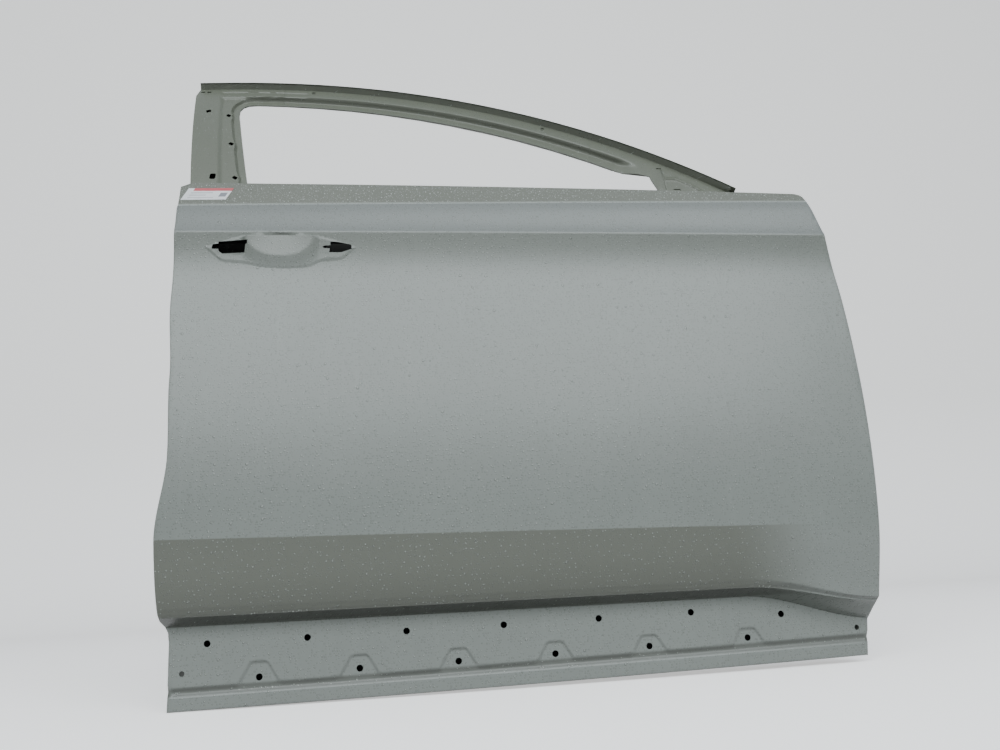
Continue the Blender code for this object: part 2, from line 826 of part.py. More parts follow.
def pad_lines():
    """Outer and inner edge of each pad's wall, open at the foot."""
    lines = []
    slope = (PAD_FOOT_HALF - PAD_TOP_HALF) / (PAD_TOP_Z - PAD_FOOT_Z)
    shrink = PAD_WALL * math.hypot(1, slope)
    for middle in pad_middles():
        for inset, top in ((0.0, PAD_TOP_Z), (shrink, PAD_TOP_Z - PAD_WALL)):
            foot = bottom(middle) + GROOVE_TOP
            low = PAD_TOP_HALF + (PAD_TOP_Z - foot) * slope - inset
            high = PAD_TOP_HALF + (PAD_TOP_Z - top) * slope - inset
            sides = ((-low, foot), (-high, top), (high, top), (low, foot))
            lines.append([(middle + x, z) for x, z in sides])
    return lines


def pocket_place(share):
    return POCKET_MIDDLE - DOOR_LENGTH + POCKET_HALF * share


def pocket_stations():
    """Places along the pocket, at every corner of its lower edge and between."""
    corners = [s for s, _ in POCKET_FOOT_SHARES]
    middles = [(a + b) / 2 for a, b in zip(corners, corners[1:])]
    return sorted(corners[1:-1] + middles)


def pocket_lines():
    """Outer and inner edge of the pocket's wall, and rings round the scoop."""
    lines = []
    xs = [pocket_place(s) for s in pocket_stations()]
    for wall in (0.0, POCKET_WALL):
        upper = [(x, pocket_edges(x)[1] - wall) for x in xs]
        lower = [(x, pocket_edges(x)[0] + wall) for x in xs]
        tips = [(pocket_place(side) - side * 2 * wall, pocket_line(pocket_place(side))) for side in (-1, 1)]
        lines.append([tips[0]] + upper + [tips[1]] + lower[::-1] + tips[:1])
    for share in SCOOP_RINGS:
        turns = [math.pi * (1 + k / SCOOP_SIDES) for k in range(SCOOP_SIDES + 1)]
        ring = []
        for turn in turns:
            x = pocket_place(SCOOP_HALF / POCKET_HALF * share * math.cos(turn))
            ring.append((x, scoop_top(x) + SCOOP_HEIGHT * share * math.sin(turn)))
        lines.append([p for p in ring if p[1] < pocket_edges(p[0])[1] - POCKET_WALL])
    for side in (-1, 1):
        x = pocket_place(side * RIM_SPREAD_SHARE * SCOOP_HALF / POCKET_HALF)
        low, high = pocket_edges(x)
        lines.append([(x, low + POCKET_WALL), (x, high - POCKET_WALL)])
    return lines


def slot(shift, length, height, shares):
    x0 = POCKET_MIDDLE - DOOR_LENGTH + shift
    z0 = pocket_line(x0)
    return [(x0 + a * length, z0 + b * height) for a, b in shares][::-1]


def handle_slots():
    return [
        slot(REAR_SLOT_SHIFT, REAR_SLOT_LENGTH, REAR_SLOT_HEIGHT, REAR_SLOT_SHARES),
        slot(FRONT_SLOT_SHIFT, FRONT_SLOT_LENGTH, FRONT_SLOT_HEIGHT, FRONT_SLOT_SHARES),
    ]


def trim_holes():
    holes = []
    for k in range(UPPER_ROW_COUNT):
        x = UPPER_ROW_START - DOOR_LENGTH + k * HOLE_PITCH
        drop = LAST_UPPER_DROP if k == UPPER_ROW_COUNT - 1 else 0.0
        holes.append(round_hole(x, UPPER_ROW_Z - drop, HOLE_R))
    holes += [round_hole(x, LOWER_ROW_Z, HOLE_R) for x in pad_middles()]
    for x in (REAR_END_HOLE - DOOR_LENGTH, -FRONT_END_HOLE):
        holes.append(round_hole(x, END_HOLE_Z, END_HOLE_R))
    return holes


def add_hem(bm):
    """Fold the flat blank's edge round and back along its inside."""
    turn = (2 * SKIN_T + PANEL_T + 2 * GAP) / 2
    edge = inset_border(0.0)
    rows = [[min(bm.verts, key=lambda v: math.dist((v.co.x, v.co.z), p)) for p in edge]]
    for inset, y in ((-turn, turn), (0.0, 2 * turn), (HEM_RETURN, 2 * turn)):
        rows.append([bm.verts.new((x, y, z)) for x, z in inset_border(inset)])
    for near, far in zip(rows, rows[1:]):
        for k in range(len(near) - 1):
            bm.faces.new((near[k + 1], near[k], far[k], far[k + 1]))


def build_skin():
    holes = trim_holes() + handle_slots()
    lines = skin_lines() + pad_lines() + pocket_lines()
    bm = blank(skin_outline(), holes, lines)
    add_hem(bm)
    return press(thicken(add_object("outer_skin", bm, PRIMED), SKIN_T), skin_depth)


# Window frame, outer sheets
def frame_columns():
    """Stations along the roof line, closer round the sail panel."""
    rear = PILLAR_FOOT_X - DOOR_LENGTH - PILLAR_LEAN
    seams = REAR_SEAM - DOOR_LENGTH, -FRONT_SEAM
    xs = spread(rear, seams[0], 4) + spread(*seams, 9)[1:]
    xs += [-SAIL_REAR - STRIP_W * k for k in (3, 2, 1, 0)]
    return xs + spread(-SAIL_REAR, roof_end(), 6)[1:]


def roof_end():
    """Where the roof line runs out on the belt."""
    return ROOF_START + ROOF_RUN - DOOR_LENGTH


def pillar_heights():
    foot = BELT[0] - LEG_TAIL
    return [foot, BELT[0] - FRAME_TAIL, BELT[0]] + spread(BELT[0], ROOF_Z, 6)[1:]


def along_roof(distance):
    return [(x, at_below(x, distance(x))) for x in frame_columns()]


def along_pillar(distance):
    """Line that far ahead of the pillar's rear edge."""
    return [(pillar_edge(z) + distance(z), z) for z in pillar_heights()]


def steady(value):
    return lambda _: value


def belt_line(rise=0.0):
    xs = columns(PILLAR_FOOT_X - DOOR_LENGTH - PILLAR_LEAN, 0.0)
    return [(x, line_height(BELT, x) + rise) for x in xs]


def frame_lines():
    roof_steps = (FLANGE_W, FLANGE_W + WELD_FLANGE, FLANGE_W + WELD_FLANGE + BOX_WALL, BAND_W, CHANNEL_W)
    lines = [along_roof(steady(e)) for e in roof_steps]
    lines += [along_pillar(steady(g)) for g in PILLAR_BEAD]
    lines += [along_pillar(lambda z, g=g: pillar_width(z) - g) for g in PILLAR_STEP[1:]]
    for g in (WELD_FLANGE, WELD_FLANGE + BOX_WALL):
        lines.append(along_pillar(steady(g)))
        lines.append(along_pillar(lambda z, g=g: pillar_width(z) - g))
        lines.append(along_roof(lambda x, g=g: header_width(x) - g))
    return lines + [belt_line(), belt_line(FLANGE_W)]


def opening_corner_height():
    x = pillar_edge(ROOF_Z) + pillar_width(ROOF_Z)
    return at_below(x, header_width(x))


def opening_rear(foot):
    """The window opening's rear edge, from foot up, and its rounded top corner."""
    top = opening_corner_height()
    ends = [foot] + [z for z in pillar_heights() if foot < z < top - OPENING_ROUND]
    ends.append(top - OPENING_ROUND)
    rise = [(pillar_edge(z) + pillar_width(z), z) for z in ends]
    corner_x = pillar_edge(top) + pillar_width(top)
    after_x = corner_x + OPENING_ROUND
    after = (after_x, at_below(after_x, header_width(after_x)))
    return rise + bend(rise[-1], (corner_x, top), after, 4) + [after]


def opening_top(start, end):
    xs = [start] + [x for x in frame_columns() if start < x < end] + [end]
    return [(x, at_below(x, header_width(x))) for x in xs]


def opening_front(foot_drop):
    """The window opening's front edge, from the top line down past the belt."""
    top_x = -SAIL_REAR - SAIL_NOSE
    belt = line_height(BELT, -SAIL_SLIT[0])
    start = (top_x, at_below(top_x, header_width(top_x)))
    shoulder = (-SAIL_REAR + SAIL_NOSE / 2, start[1] - SAIL_NOSE / 2)
    foot = (-SAIL_SLIT[0], belt)
    corner = (foot[0] - SAIL_NOSE / 3, shoulder[1] - SAIL_NOSE / 4)
    return [start, shoulder, corner, foot, (foot[0] + run_drift(foot_drop), belt - foot_drop)]


def roof_stretch(start, end):
    xs = [start] + [x for x in frame_columns() if start < x < end] + [end]
    return [(x, roof(x)) for x in xs]


def pillar_rear(foot):
    """Rear edge of the pillar from foot up to the cut corner under the roof."""
    ends = [foot] + [z for z in pillar_heights() if foot < z < ROOF_Z - PILLAR_CUT]
    ends.append(ROOF_Z - PILLAR_CUT)
    points = [(pillar_edge(z), z) for z in ends]
    cut_x = pillar_edge(ROOF_Z) + PILLAR_CUT / 3
    return points, cut_x


def pillar_panel_outline():
    foot = BELT[0] - FRAME_TAIL
    rear, cut_x = pillar_rear(foot)
    seam = REAR_SEAM - DOOR_LENGTH - GAP / 2
    inner = opening_rear(foot)
    top = opening_top(inner[-1][0], seam)[1:]
    return rear + roof_stretch(cut_x, seam) + top[::-1] + inner[::-1]


def header_outline():
    start = REAR_SEAM - DOOR_LENGTH + GAP / 2
    end = -FRONT_SEAM - GAP / 2
    return roof_stretch(start, end) + opening_top(start, end)[::-1]


def sail_outline():
    start = -FRONT_SEAM + GAP / 2
    front = opening_front(FRAME_TAIL)
    end = roof_end()
    foot = (end, line_height(BELT, end) - FRAME_TAIL)
    return (
        roof_stretch(start, end) + [foot] + front[::-1] + opening_top(start, front[0][0])[-2::-1]
    )


def sail_slit():
    low_x, high_x = -SAIL_SLIT[1] - SLIT_W, -SAIL_SLIT[0] + SAIL_MARGIN
    low = line_height(BELT, low_x)
    top = at_below(high_x, SLIT_BELOW)
    return [(low_x, low), (low_x + SLIT_W, low), (high_x + SLIT_W, top), (high_x, top)]


def clockwise_slot(x, z, length, width, tilt):
    """Slot with cut corners, its length along the tilt from the x axis."""
    along = Vector((math.cos(tilt), math.sin(tilt)))
    across = Vector((-along[1], along[0]))
    made = []
    for a, b in ((-1, -0.5), (-0.8, -1), (0.8, -1), (1, -0.5), (1, 0.5), (0.8, 1), (-0.8, 1), (-1, 0.5)):
        p = Vector((x, z)) + along * (a * length / 2) + across * (b * width / 2)
        made.append(tuple(p))
    return made


def pillar_slots():
    """Clip slots down the pillar, each (ahead of its rear edge, below the roof, length, width)."""
    made = []
    for ahead, below, length, width, tilt in PILLAR_SLOTS:
        z = ROOF_Z - below
        made.append(clockwise_slot(pillar_edge(z) + ahead, z, length, width, tilt))
    for below in STEP_SLOTS:
        z = ROOF_Z - below
        made.append(clockwise_slot(pillar_edge(z) + pillar_width(z) - STEP_SLOT_INSET, z, *STEP_SLOT))
    return made


def header_slots():
    start, end = REAR_SEAM - DOOR_LENGTH, -FRONT_SEAM
    xs = [start + (end - start) * share for share in HEADER_SLOT_SHARES]
    return [clockwise_slot(x, at_below(x, SLOT_LINE), HEADER_SLOT_L, SLOT_W, 0.0) for x in xs]


def build_frame_outer():
    lines = frame_lines()
    sheet("b_pillar_panel", pillar_panel_outline(), pillar_slots(), lines, frame_outer, FRAME_T)
    sheet("header_rail", header_outline(), header_slots(), lines, frame_outer, FRAME_T)
    sheet("sail_panel", sail_outline(), [sail_slit()], lines, frame_outer, FRAME_T)


# Window frame, inner ring with its legs
def opening_distance(x, z):
    """Distance from the window opening's edge, into the frame."""
    header = header_width(x) - below_roof(x, z)
    pillar = pillar_edge(z) + pillar_width(z) - x
    if x > -SAIL_REAR - SAIL_NOSE:
        return max(pillar, x + SAIL_REAR + SAIL_NOSE)
    return max(header, pillar)


def frame_box(x, z):
    e = ramp(below_roof(x, z), FLANGE_W + WELD_FLANGE, FLANGE_W + WELD_FLANGE + BOX_WALL)
    g = ramp(x - pillar_edge(z), WELD_FLANGE, WELD_FLANGE + BOX_WALL)
    o = ramp(opening_distance(x, z), WELD_FLANGE, WELD_FLANGE + BOX_WALL)
    return BOX_DEPTH * min(e, g, o) * sail_share(x)


def frame_inner_depth(x, z):
    behind = FRAME_T * steepness(frame_outer, x, z) + 2 * GAP
    return frame_outer(x, z) + behind + frame_box(x, z)


def rear_wall(z):
    """Latch face of the inner panel: flat in the latch's own height."""
    half = LATCH_PLATE[1] / 2 + OVERRUN
    if abs(z - LATCH_Z) < half:
        held = LATCH_Z
    elif z < LATCH_Z:
        held = z * LATCH_Z / (LATCH_Z - half)
    else:
        held = LATCH_Z + (z - LATCH_Z - half) * (BELT[0] - LATCH_Z) / (BELT[0] - LATCH_Z - half)
    return rear_edge(held) + REAR_WALL


def front_wall(z):
    """Front wall of the inner panel: straight where the hinges sit, just behind their seats."""
    return min(-SEAT_RISE, front_edge(z) - EDGE_FLANGE)


def panel_top(x):
    return line_height(JOGGLE, x) + JOGGLE_STEP


def frame_inner_outline():
    foot = BELT[0] - LEG_TAIL
    leg_top = panel_top(-DOOR_LENGTH) + LEG_CLEAR
    rear, cut_x = pillar_rear(leg_top)
    leg_x = rear_wall(panel_top(-DOOR_LENGTH)) + PANEL_T + LEG_CLEAR
    leg = [(leg_x, foot), (leg_x, leg_top)]
    end = roof_end()
    front = opening_front(LEG_TAIL)
    front_leg = [
        (end, line_height(BELT, end) - FRAME_TAIL + LEG_CLEAR),
        (-SAIL_LEG[0], line_height(BELT, end) - FRAME_TAIL + LEG_CLEAR),
        (-SAIL_LEG[1], front[-1][1]),
    ]
    inner = opening_rear(foot)
    top = opening_top(inner[-1][0], front[0][0])[1:-1]
    return leg + rear + roof_stretch(cut_x, end) + front_leg + front[::-1] + top[::-1] + inner[::-1]


def build_frame_inner():
    lines = frame_lines()
    sheet("frame_inner", frame_inner_outline(), [], lines, frame_inner_depth, FRAME_T, PRIMED_INSIDE)


# Inner panel
def inner_face(z):
    return INNER_LOW + (INNER_TOP - INNER_LOW) * z / BELT[0]


def flange_lift(x, z):
    """Outboard face of the inner panel's flange, in the fold of the skin."""
    return panel_depth(x, z) + (SKIN_T + GAP) * steepness(panel_depth, x, z)


def wall_tops(feet):
    """Where the walls meet the inner face: the bottom wall slopes up to drain."""
    tops = []
    for x, z in feet:
        share = 1 - min(1.0, (z - bottom(x) - BOTTOM_FLANGE) / (3 * BOTTOM_DRAFT))
        tops.append((x, z + BOTTOM_DRAFT * share))
    return tops


def access_holes():
    """Openings of the inner face, each chosen by hand in shares of the panel."""
    made = []
    for shares in ACCESS_SHARES:
        made.append([
            (-DOOR_LENGTH + a * DOOR_LENGTH, b * BELT[0]) for a, b in shares
        ])
    made.append(round_hole(*SPEAKER, SPEAKER_R, 20))
    return made


def build_inner_panel():
    bm = bmesh.new()
    feet = wall_border(BOTTOM_FLANGE)
    tops = wall_tops(feet)
    rings = []
    for row in (inset_border(HEM_TRIM), feet):
        rings.append([bm.verts.new((x, flange_lift(x, z), z)) for x, z in row])
    rings.append([bm.verts.new((x, inner_face(z), z)) for x, z in tops])
    for near, far in zip(rings, rings[1:]):
        for k in range(len(near) - 1):
            bm.faces.new((near[k], near[k + 1], far[k + 1], far[k]))
    corners, faces = triangulate(tops, access_holes(), [])
    verts = {}
    for k, (x, z) in enumerate(corners):
        match = [v for v in rings[2] if abs(v.co.x - x) < GAP / 10 and abs(v.co.z - z) < GAP / 10]
        verts[k] = match[0] if match else bm.verts.new((x, inner_face(z), z))
    for face in faces:
        bm.faces.new([verts[k] for k in face])
    bmesh.ops.delete(bm, geom=[v for v in bm.verts if not v.link_faces], context="VERTS")
    face_inboard(bm)
    made = add_object("inner_panel", bm, PRIMED_INSIDE)
    thicken(made, PANEL_T, outwards=True)
    add_seats(made)
    cut_panel_walls(made)
    return made


def add_seats(made):
    """Flat seats, their faces in x = 0, raised on the wall for the hinges and the check strap."""
    places = [(name, z, HINGE_SEAT) for name, z in hinge_heights()] + [("check", CHECK_Z, CHECK_SEAT)]
    for name, z, size in places:
        low = (-SEAT_RISE - PANEL_T / 2, HINGE_Y - size[0] / 2, z - size[1] / 2)
        high = (0, HINGE_Y + size[0] / 2, z + size[1] / 2)
        cut(made, box(f"{name}_seat", low, high, None, CUTTERS), "UNION")


def cut_panel_walls(made):
    for name, z in hinge_heights():
        for side in (-1, 1):
            place = (0, HINGE_Y, z + side * HINGE_BOLT_PITCH / 2)
            cut(made, rod(f"{name}_bolt_{side}", place, "X", HINGE_BOLT_R, 4 * OVERRUN, None, CUTTERS))
    high = (OVERRUN, HINGE_Y + CHECK_SLOT[0] / 2, CHECK_Z + CHECK_SLOT[1] / 2)
    low = (-OVERRUN, HINGE_Y - CHECK_SLOT[0] / 2, CHECK_Z - CHECK_SLOT[1] / 2)
    cut(made, box("check_slot", low, high, None, CUTTERS))
    cut(made, rod("loom_hole", (0, HINGE_Y, GROMMET_Z), "X", GROMMET_R, 2 * OVERRUN, None, CUTTERS))
    x = rear_wall(LATCH_Z)
    y = latch_y()
    low = (x - OVERRUN, y - LATCH_SLOT[0] / 2, LATCH_Z - LATCH_SLOT[1] / 2)
    high = (x + OVERRUN, y + LATCH_SLOT[0] / 2, LATCH_Z + LATCH_SLOT[1] / 2)
    cut(made, box("latch_slot", low, high, None, CUTTERS))


def latch_y():
    """Middle of the latch face, between the flange and the inner face."""
    z = LATCH_Z
    return (flange_lift(rear_wall(z), z) + inner_face(z)) / 2


def hinge_heights():
    return (("hinge_lower", LOWER_HINGE_Z), ("hinge_upper", LOWER_HINGE_Z + HINGE_SPACING))


# Plates and nuts behind the faces that carry hinges, check strap and latch
def plate(name, face_x, side, y, z, size, thickness, holes):
    """Plate on the cavity side of a wall at face_x; side is +1 where the cavity lies ahead of it."""
    near = face_x + side * (PANEL_T + GAP)
    far = near + side * thickness
    low = (min(near, far), y - size[0] / 2, z - size[1] / 2)
    high = (max(near, far), y + size[0] / 2, z + size[1] / 2)
    made = box(name, low, high, PRIMED_INSIDE)
    for k, (dy, dz, radius) in enumerate(holes):
        place = ((near + far) / 2, y + dy, z + dz)
        cut(made, rod(f"{name}_hole_{k}", place, "X", radius, 2 * OVERRUN, None, CUTTERS))
    return made


def build_plates():
    for name, z in hinge_heights():
        holes = [(0, side * HINGE_BOLT_PITCH / 2, HINGE_BOLT_R) for side in (-1, 1)]
        plate(f"{name}_plate", -SEAT_RISE, -1, HINGE_Y, z, HINGE_PLATE, HEAVY_T, holes)
        for side, mark in ((-1, "low"), (1, "high")):
            x = -SEAT_RISE - PANEL_T - 2 * GAP - HEAVY_T - NUT_H / 2
            place = (x, HINGE_Y, z + side * HINGE_BOLT_PITCH / 2)
            nut = rod(f"{name}_nut_{mark}", place, "X", NUT_R, NUT_H, PRIMED_INSIDE, None, 6)
            bore = rod(f"{nut.name}_bore", place, "X", HINGE_BOLT_R, 2 * NUT_H, None, CUTTERS)
            cut(nut, bore)
    check = plate(
        "check_strap_plate", -SEAT_RISE, -1, HINGE_Y, CHECK_Z, CHECK_PLATE, HEAVY_T, []
    )
    reach = OVERRUN
    low = (-reach, HINGE_Y - CHECK_SLOT[0] / 2, CHECK_Z - CHECK_SLOT[1] / 2)
    high = (reach, HINGE_Y + CHECK_SLOT[0] / 2, CHECK_Z + CHECK_SLOT[1] / 2)
    cut(check, box("check_plate_slot", low, high, None, CUTTERS))
    x = rear_wall(LATCH_Z)
    latch = plate("latch_plate", x, 1, latch_y(), LATCH_Z, LATCH_PLATE, HEAVY_T, [])
    low = (x - reach, latch_y() - LATCH_SLOT[0] / 2, LATCH_Z - LATCH_SLOT[1] / 2)
    high = (x + reach, latch_y() + LATCH_SLOT[0] / 2, LATCH_Z + LATCH_SLOT[1] / 2)
    cut(latch, box("latch_plate_slot", low, high, None, CUTTERS))


# Belt rails
def belt_span():
    return rear_edge(BELT[0]) + TOP_REAR_CUT, front_edge(BELT[1]) - TOP_FRONT_ROUND


def build_belt_rails():
    start, end = belt_span()
    xs = columns(start, end)
    top, step, foot = RAIL_LINES

    def outline(first, last, edge):
        upper = [(x, line_height(BELT, x) - first) for x in edge]
        lower = [(x, line_height(BELT, x) - last) for x in edge]
        return upper + lower[::-1]

    def outer_depth(x, z):
        down = line_height(BELT, x) - z
        skin = panel_depth(x, z) + (SKIN_T + GAP) * steepness(panel_depth, x, z)
        frame = FRAME_STEP - FLANGE_DEPTH + SKIN_T + 2 * GAP + HEAVY_T
        return skin - frame * ramp(down, step, foot)

    lines = [[(x, line_height(BELT, x) - d) for x in xs] for d in (step, foot)]
    tail = FRAME_TAIL - GAP
    sheet("belt_rail_outer", outline(top, tail, xs), [], lines, outer_depth, HEAVY_T, PRIMED_INSIDE)

    def inner_depth(x, z):
        down = panel_top(x) - z
        return inner_face(z) - 2 * GAP - HEAVY_T - RAIL_D * (1 - ramp(down, -2 * RAIL_D, -RAIL_D))

    start = rear_wall(panel_top(-DOOR_LENGTH)) + 2 * OVERRUN
    inner_xs = columns(start, front_wall(panel_top(0.0)) - 2 * OVERRUN)
    upper = [(x, panel_top(x) + RAIL_H / 2) for x in inner_xs]
    lower = [(x, panel_top(x) - RAIL_H / 2) for x in inner_xs]
    rises = (RAIL_D / 2, RAIL_D, 2 * RAIL_D)
    lines = [[(x, panel_top(x) + d) for x in inner_xs] for d in rises]
    sheet("belt_rail_inner", upper + lower[::-1], [], lines, inner_depth, HEAVY_T, PRIMED_INSIDE)


# Side impact beam
def beam_y(x):
    """Middle of the beam: it clears the skin by the same amount at both ends."""
    ends = []
    for at, z in ((beam_end_rear(), BEAM_REAR_Z), (beam_end_front(), BEAM_FRONT_Z)):
        ends.append(panel_depth(at, z) + SKIN_T + BEAM_CLEAR + BEAM_R)
    share = (x - beam_end_rear()) / (beam_end_front() - beam_end_rear())
    return ends[0] + (ends[1] - ends[0]) * share


def beam_z(x):
    share = (x - beam_end_rear()) / (beam_end_front() - beam_end_rear())
    return BEAM_REAR_Z + (BEAM_FRONT_Z - BEAM_REAR_Z) * share


def beam_end_rear():
    return rear_wall(BEAM_REAR_Z) + PANEL_T + BEAM_SETBACK / 2


def beam_end_front():
    return front_wall(BEAM_FRONT_Z) - PANEL_T - BEAM_SETBACK / 2


def build_beam():
    start = Vector((beam_end_rear(), beam_y(beam_end_rear()), BEAM_REAR_Z))
    end = Vector((beam_end_front(), beam_y(beam_end_front()), BEAM_FRONT_Z))
    bm = bmesh.new()
    bmesh.ops.create_cone(
        bm, cap_ends=False, segments=20, radius1=BEAM_R, radius2=BEAM_R, depth=(end - start).length
    )
    beam = add_object("impact_beam", bm, PRIMED_INSIDE)
    beam.location = (start + end) / 2
    beam.rotation_euler = (end - start).to_track_quat("Z", "Y").to_euler()
    thicken(beam, BEAM_T)
    for name, wall, side, z in (
        ("beam_bracket_front", front_wall(BEAM_FRONT_Z), -1, BEAM_FRONT_Z),
        ("beam_bracket_rear", rear_wall(BEAM_REAR_Z), 1, BEAM_REAR_Z),
    ):
        near = wall + side * (PANEL_T + GAP)
        if side > 0:
            near += BRACKET_SLACK
        reach = BRACKET_W
        sections = []
        for dz in (-BRACKET_W / 2, BRACKET_W / 2):
            def seat(x):
                return beam_y(x) + BEAM_R / math.cos(math.atan(beam_slope())) + GAP
            a, b, c = near, near + side * HEAVY_T, near + side * reach
            tail = inner_face(z) - PANEL_T - OVERRUN
            ring = [
                (a, seat(a)), (c, seat(c)), (c, seat(c) + HEAVY_T),
                (b, seat(b) + HEAVY_T), (b, tail), (a, tail),
            ]
            sections.append([(x, y, z + dz) for x, y in ring])
        loft(name, sections)
    for k, share in enumerate(MASTIC_SHARES):
        x = start.x + (end.x - start.x) * share
        z = beam_z(x)
        low = max(panel_depth(x, z + d) for d in (-PAD_R, 0.0, PAD_R)) + SKIN_T + 2 * GAP
        high = beam_y(x) - BEAM_R - GAP - PAD_R * abs(beam_slope())
        middle = (x, (low + high) / 2, z)
        rod(f"mastic_pad_{k + 1}", middle, "Y", PAD_R, high - low, MASTIC)


def beam_slope():
    return (beam_y(0.0) - beam_y(-DOOR_LENGTH)) / DOOR_LENGTH


# Glass runs
def run_sections(start, end, count):
    """U sections of a glass run between two points, open to +X or -X by the sign of its depth."""
    made = []
    for k in range(count + 1):
        t = k / count
        made.append(tuple(a + (b - a) * t for a, b in zip(start, end)))
    return made


def glass_run(name, start, end, side):
    wall = PANEL_T
    half = RUN_D / 2
    ring = [
        (-half, -half), (half, -half), (half, -half + wall), (-half + wall, -half + wall),
        (-half + wall, half - wall), (half, half - wall), (half, half), (-half, half),
    ]
    sections = []
    for x, y, z in run_sections(start, end, 4):
        sections.append([(x + side * a, y + b, z) for a, b in ring])
    return loft(name, sections)


def leg_face(x, z):
    """Inboard face of the inner frame's weld flange beside the opening."""
    return frame_inner_depth(x, z) + FRAME_T * steepness(frame_inner_depth, x, z)


def build_runs():
    top = BELT[0] - FRAME_TAIL
    for name, x_top, side, length in (
        ("glass_run_rear", pillar_edge(top) + pillar_width(top), 1, REAR_RUN_LENGTH),
        ("glass_run_front", run_drift(FRAME_TAIL) - SAIL_SLIT[0], -1, FRONT_RUN_LENGTH),
    ):
        z_top = line_height(BELT, x_top) - FRAME_TAIL
        seat = max(leg_face(x_top - side * d, z_top) for d in (0.0, RUN_D / 2))
        y = seat + GAP + RUN_D / 2
        lean = BELT_SLOPE * length
        drift = run_drift(length)
        bow = plan(x_top + drift) - plan(x_top)
        start = (x_top, y, z_top)
        end = (x_top + drift, y - lean + bow, z_top - length)
        glass_run(name, start, end, side)
        # Arm from the foot of the run to the inner panel.
        z = end[2] + RUN_W
        back = x_top + drift * (1 - RUN_W / length) - side * RUN_D / 2
        y_run = y + (bow - lean) * (1 - RUN_W / length)
        near = back - side * (GAP + run_drift(RUN_W / 2))
        far = near - side * HEAVY_T
        low = (min(near, far), y_run - RUN_D / 2, z - RUN_W / 2)
        high = (max(near, far), inner_face(z - RUN_W / 2) - GAP, z + RUN_W / 2)
        box(f"{name}_arm", low, high, PRIMED_INSIDE)


# Handle reinforcement and label
def build_handle_plate():
    middle = POCKET_MIDDLE - DOOR_LENGTH
    reach = POCKET_HALF + HANDLE_MARGIN
    top = line_height(SHOULDER, middle) + HANDLE_MARGIN / 2
    foot = pocket_line(middle) - POCKET_FALL * 2
    xs = spread(middle - reach, middle + reach, 6)
    outline = [(x, top) for x in xs] + [(x, foot) for x in xs[::-1]]

    span = spread(-SCOOP_HALF, SCOOP_HALF, 8)
    drops = spread(SCOOP_BELOW, SCOOP_BELOW + SCOOP_HEIGHT, 8)
    scoop = [(middle + a, line_height(SHOULDER, middle + a) - b) for a in span for b in drops]
    deepest = max(skin_depth(x, z) - plan(x) for x, z in scoop)

    def depth(x, z):
        return plan(x) + deepest + HANDLE_CLEAR

    holes = [round_hole(middle, (top + foot) / 2, HANDLE_HOLE_R, 16)]
    for shift, length in ((REAR_SLOT_SHIFT, REAR_SLOT_LENGTH), (FRONT_SLOT_SHIFT, FRONT_SLOT_LENGTH)):
        z = pocket_line(middle + shift)
        holes.append(clockwise_slot(middle + shift, z, length, REAR_SLOT_HEIGHT, 0.0))
    sheet("handle_plate", outline, holes, [], depth, HEAVY_T, PRIMED_INSIDE)


def build_label():
    x = rear_edge(BELT[0]) + LABEL_INSET
    z = line_height(BELT, x) - LABEL_DROP
    lean = LABEL_H * LABEL_SKEW_SHARE
    fall = LABEL_W * (BELT[0] - BELT[1]) / DOOR_LENGTH
    top = [(x, z), (x + LABEL_W, z - fall)]
    foot = [(px - lean, pz - LABEL_H) for px, pz in top]
    outline = top + foot[::-1]

    def depth(x, z):
        return panel_depth(x, z) - LABEL_T - GAP / 2

    sheet("blank_label", outline[::-1], [], [], depth, LABEL_T, LABEL)


build_skin()
build_frame_outer()
build_frame_inner()
build_inner_panel()
build_plates()
build_belt_rails()
build_beam()
build_runs()
build_handle_plate()
build_label()
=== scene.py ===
import bmesh
import bpy
import math
import numpy as np
from mathutils import Matrix, Vector
from mathutils.geometry import delaunay_2d_cdt


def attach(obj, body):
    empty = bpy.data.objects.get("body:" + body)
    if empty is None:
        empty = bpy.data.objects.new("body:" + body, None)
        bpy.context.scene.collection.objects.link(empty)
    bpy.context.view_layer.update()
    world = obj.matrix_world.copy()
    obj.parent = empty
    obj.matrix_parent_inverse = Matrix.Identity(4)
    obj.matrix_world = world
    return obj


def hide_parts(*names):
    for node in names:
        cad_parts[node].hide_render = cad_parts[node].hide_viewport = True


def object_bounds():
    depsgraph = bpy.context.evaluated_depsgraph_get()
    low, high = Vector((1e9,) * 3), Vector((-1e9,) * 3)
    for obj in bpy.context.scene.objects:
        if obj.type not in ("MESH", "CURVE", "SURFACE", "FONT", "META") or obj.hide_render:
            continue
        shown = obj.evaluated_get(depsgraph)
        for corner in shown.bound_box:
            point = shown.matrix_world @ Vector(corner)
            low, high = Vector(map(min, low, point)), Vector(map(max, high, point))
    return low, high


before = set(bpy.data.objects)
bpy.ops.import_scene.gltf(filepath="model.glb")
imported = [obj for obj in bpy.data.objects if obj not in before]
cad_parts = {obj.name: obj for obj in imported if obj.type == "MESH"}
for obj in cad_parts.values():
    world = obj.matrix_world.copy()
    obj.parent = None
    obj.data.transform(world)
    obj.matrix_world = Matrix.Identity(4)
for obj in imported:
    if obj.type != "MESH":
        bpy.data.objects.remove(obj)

cad_box = [list(corner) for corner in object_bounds()]

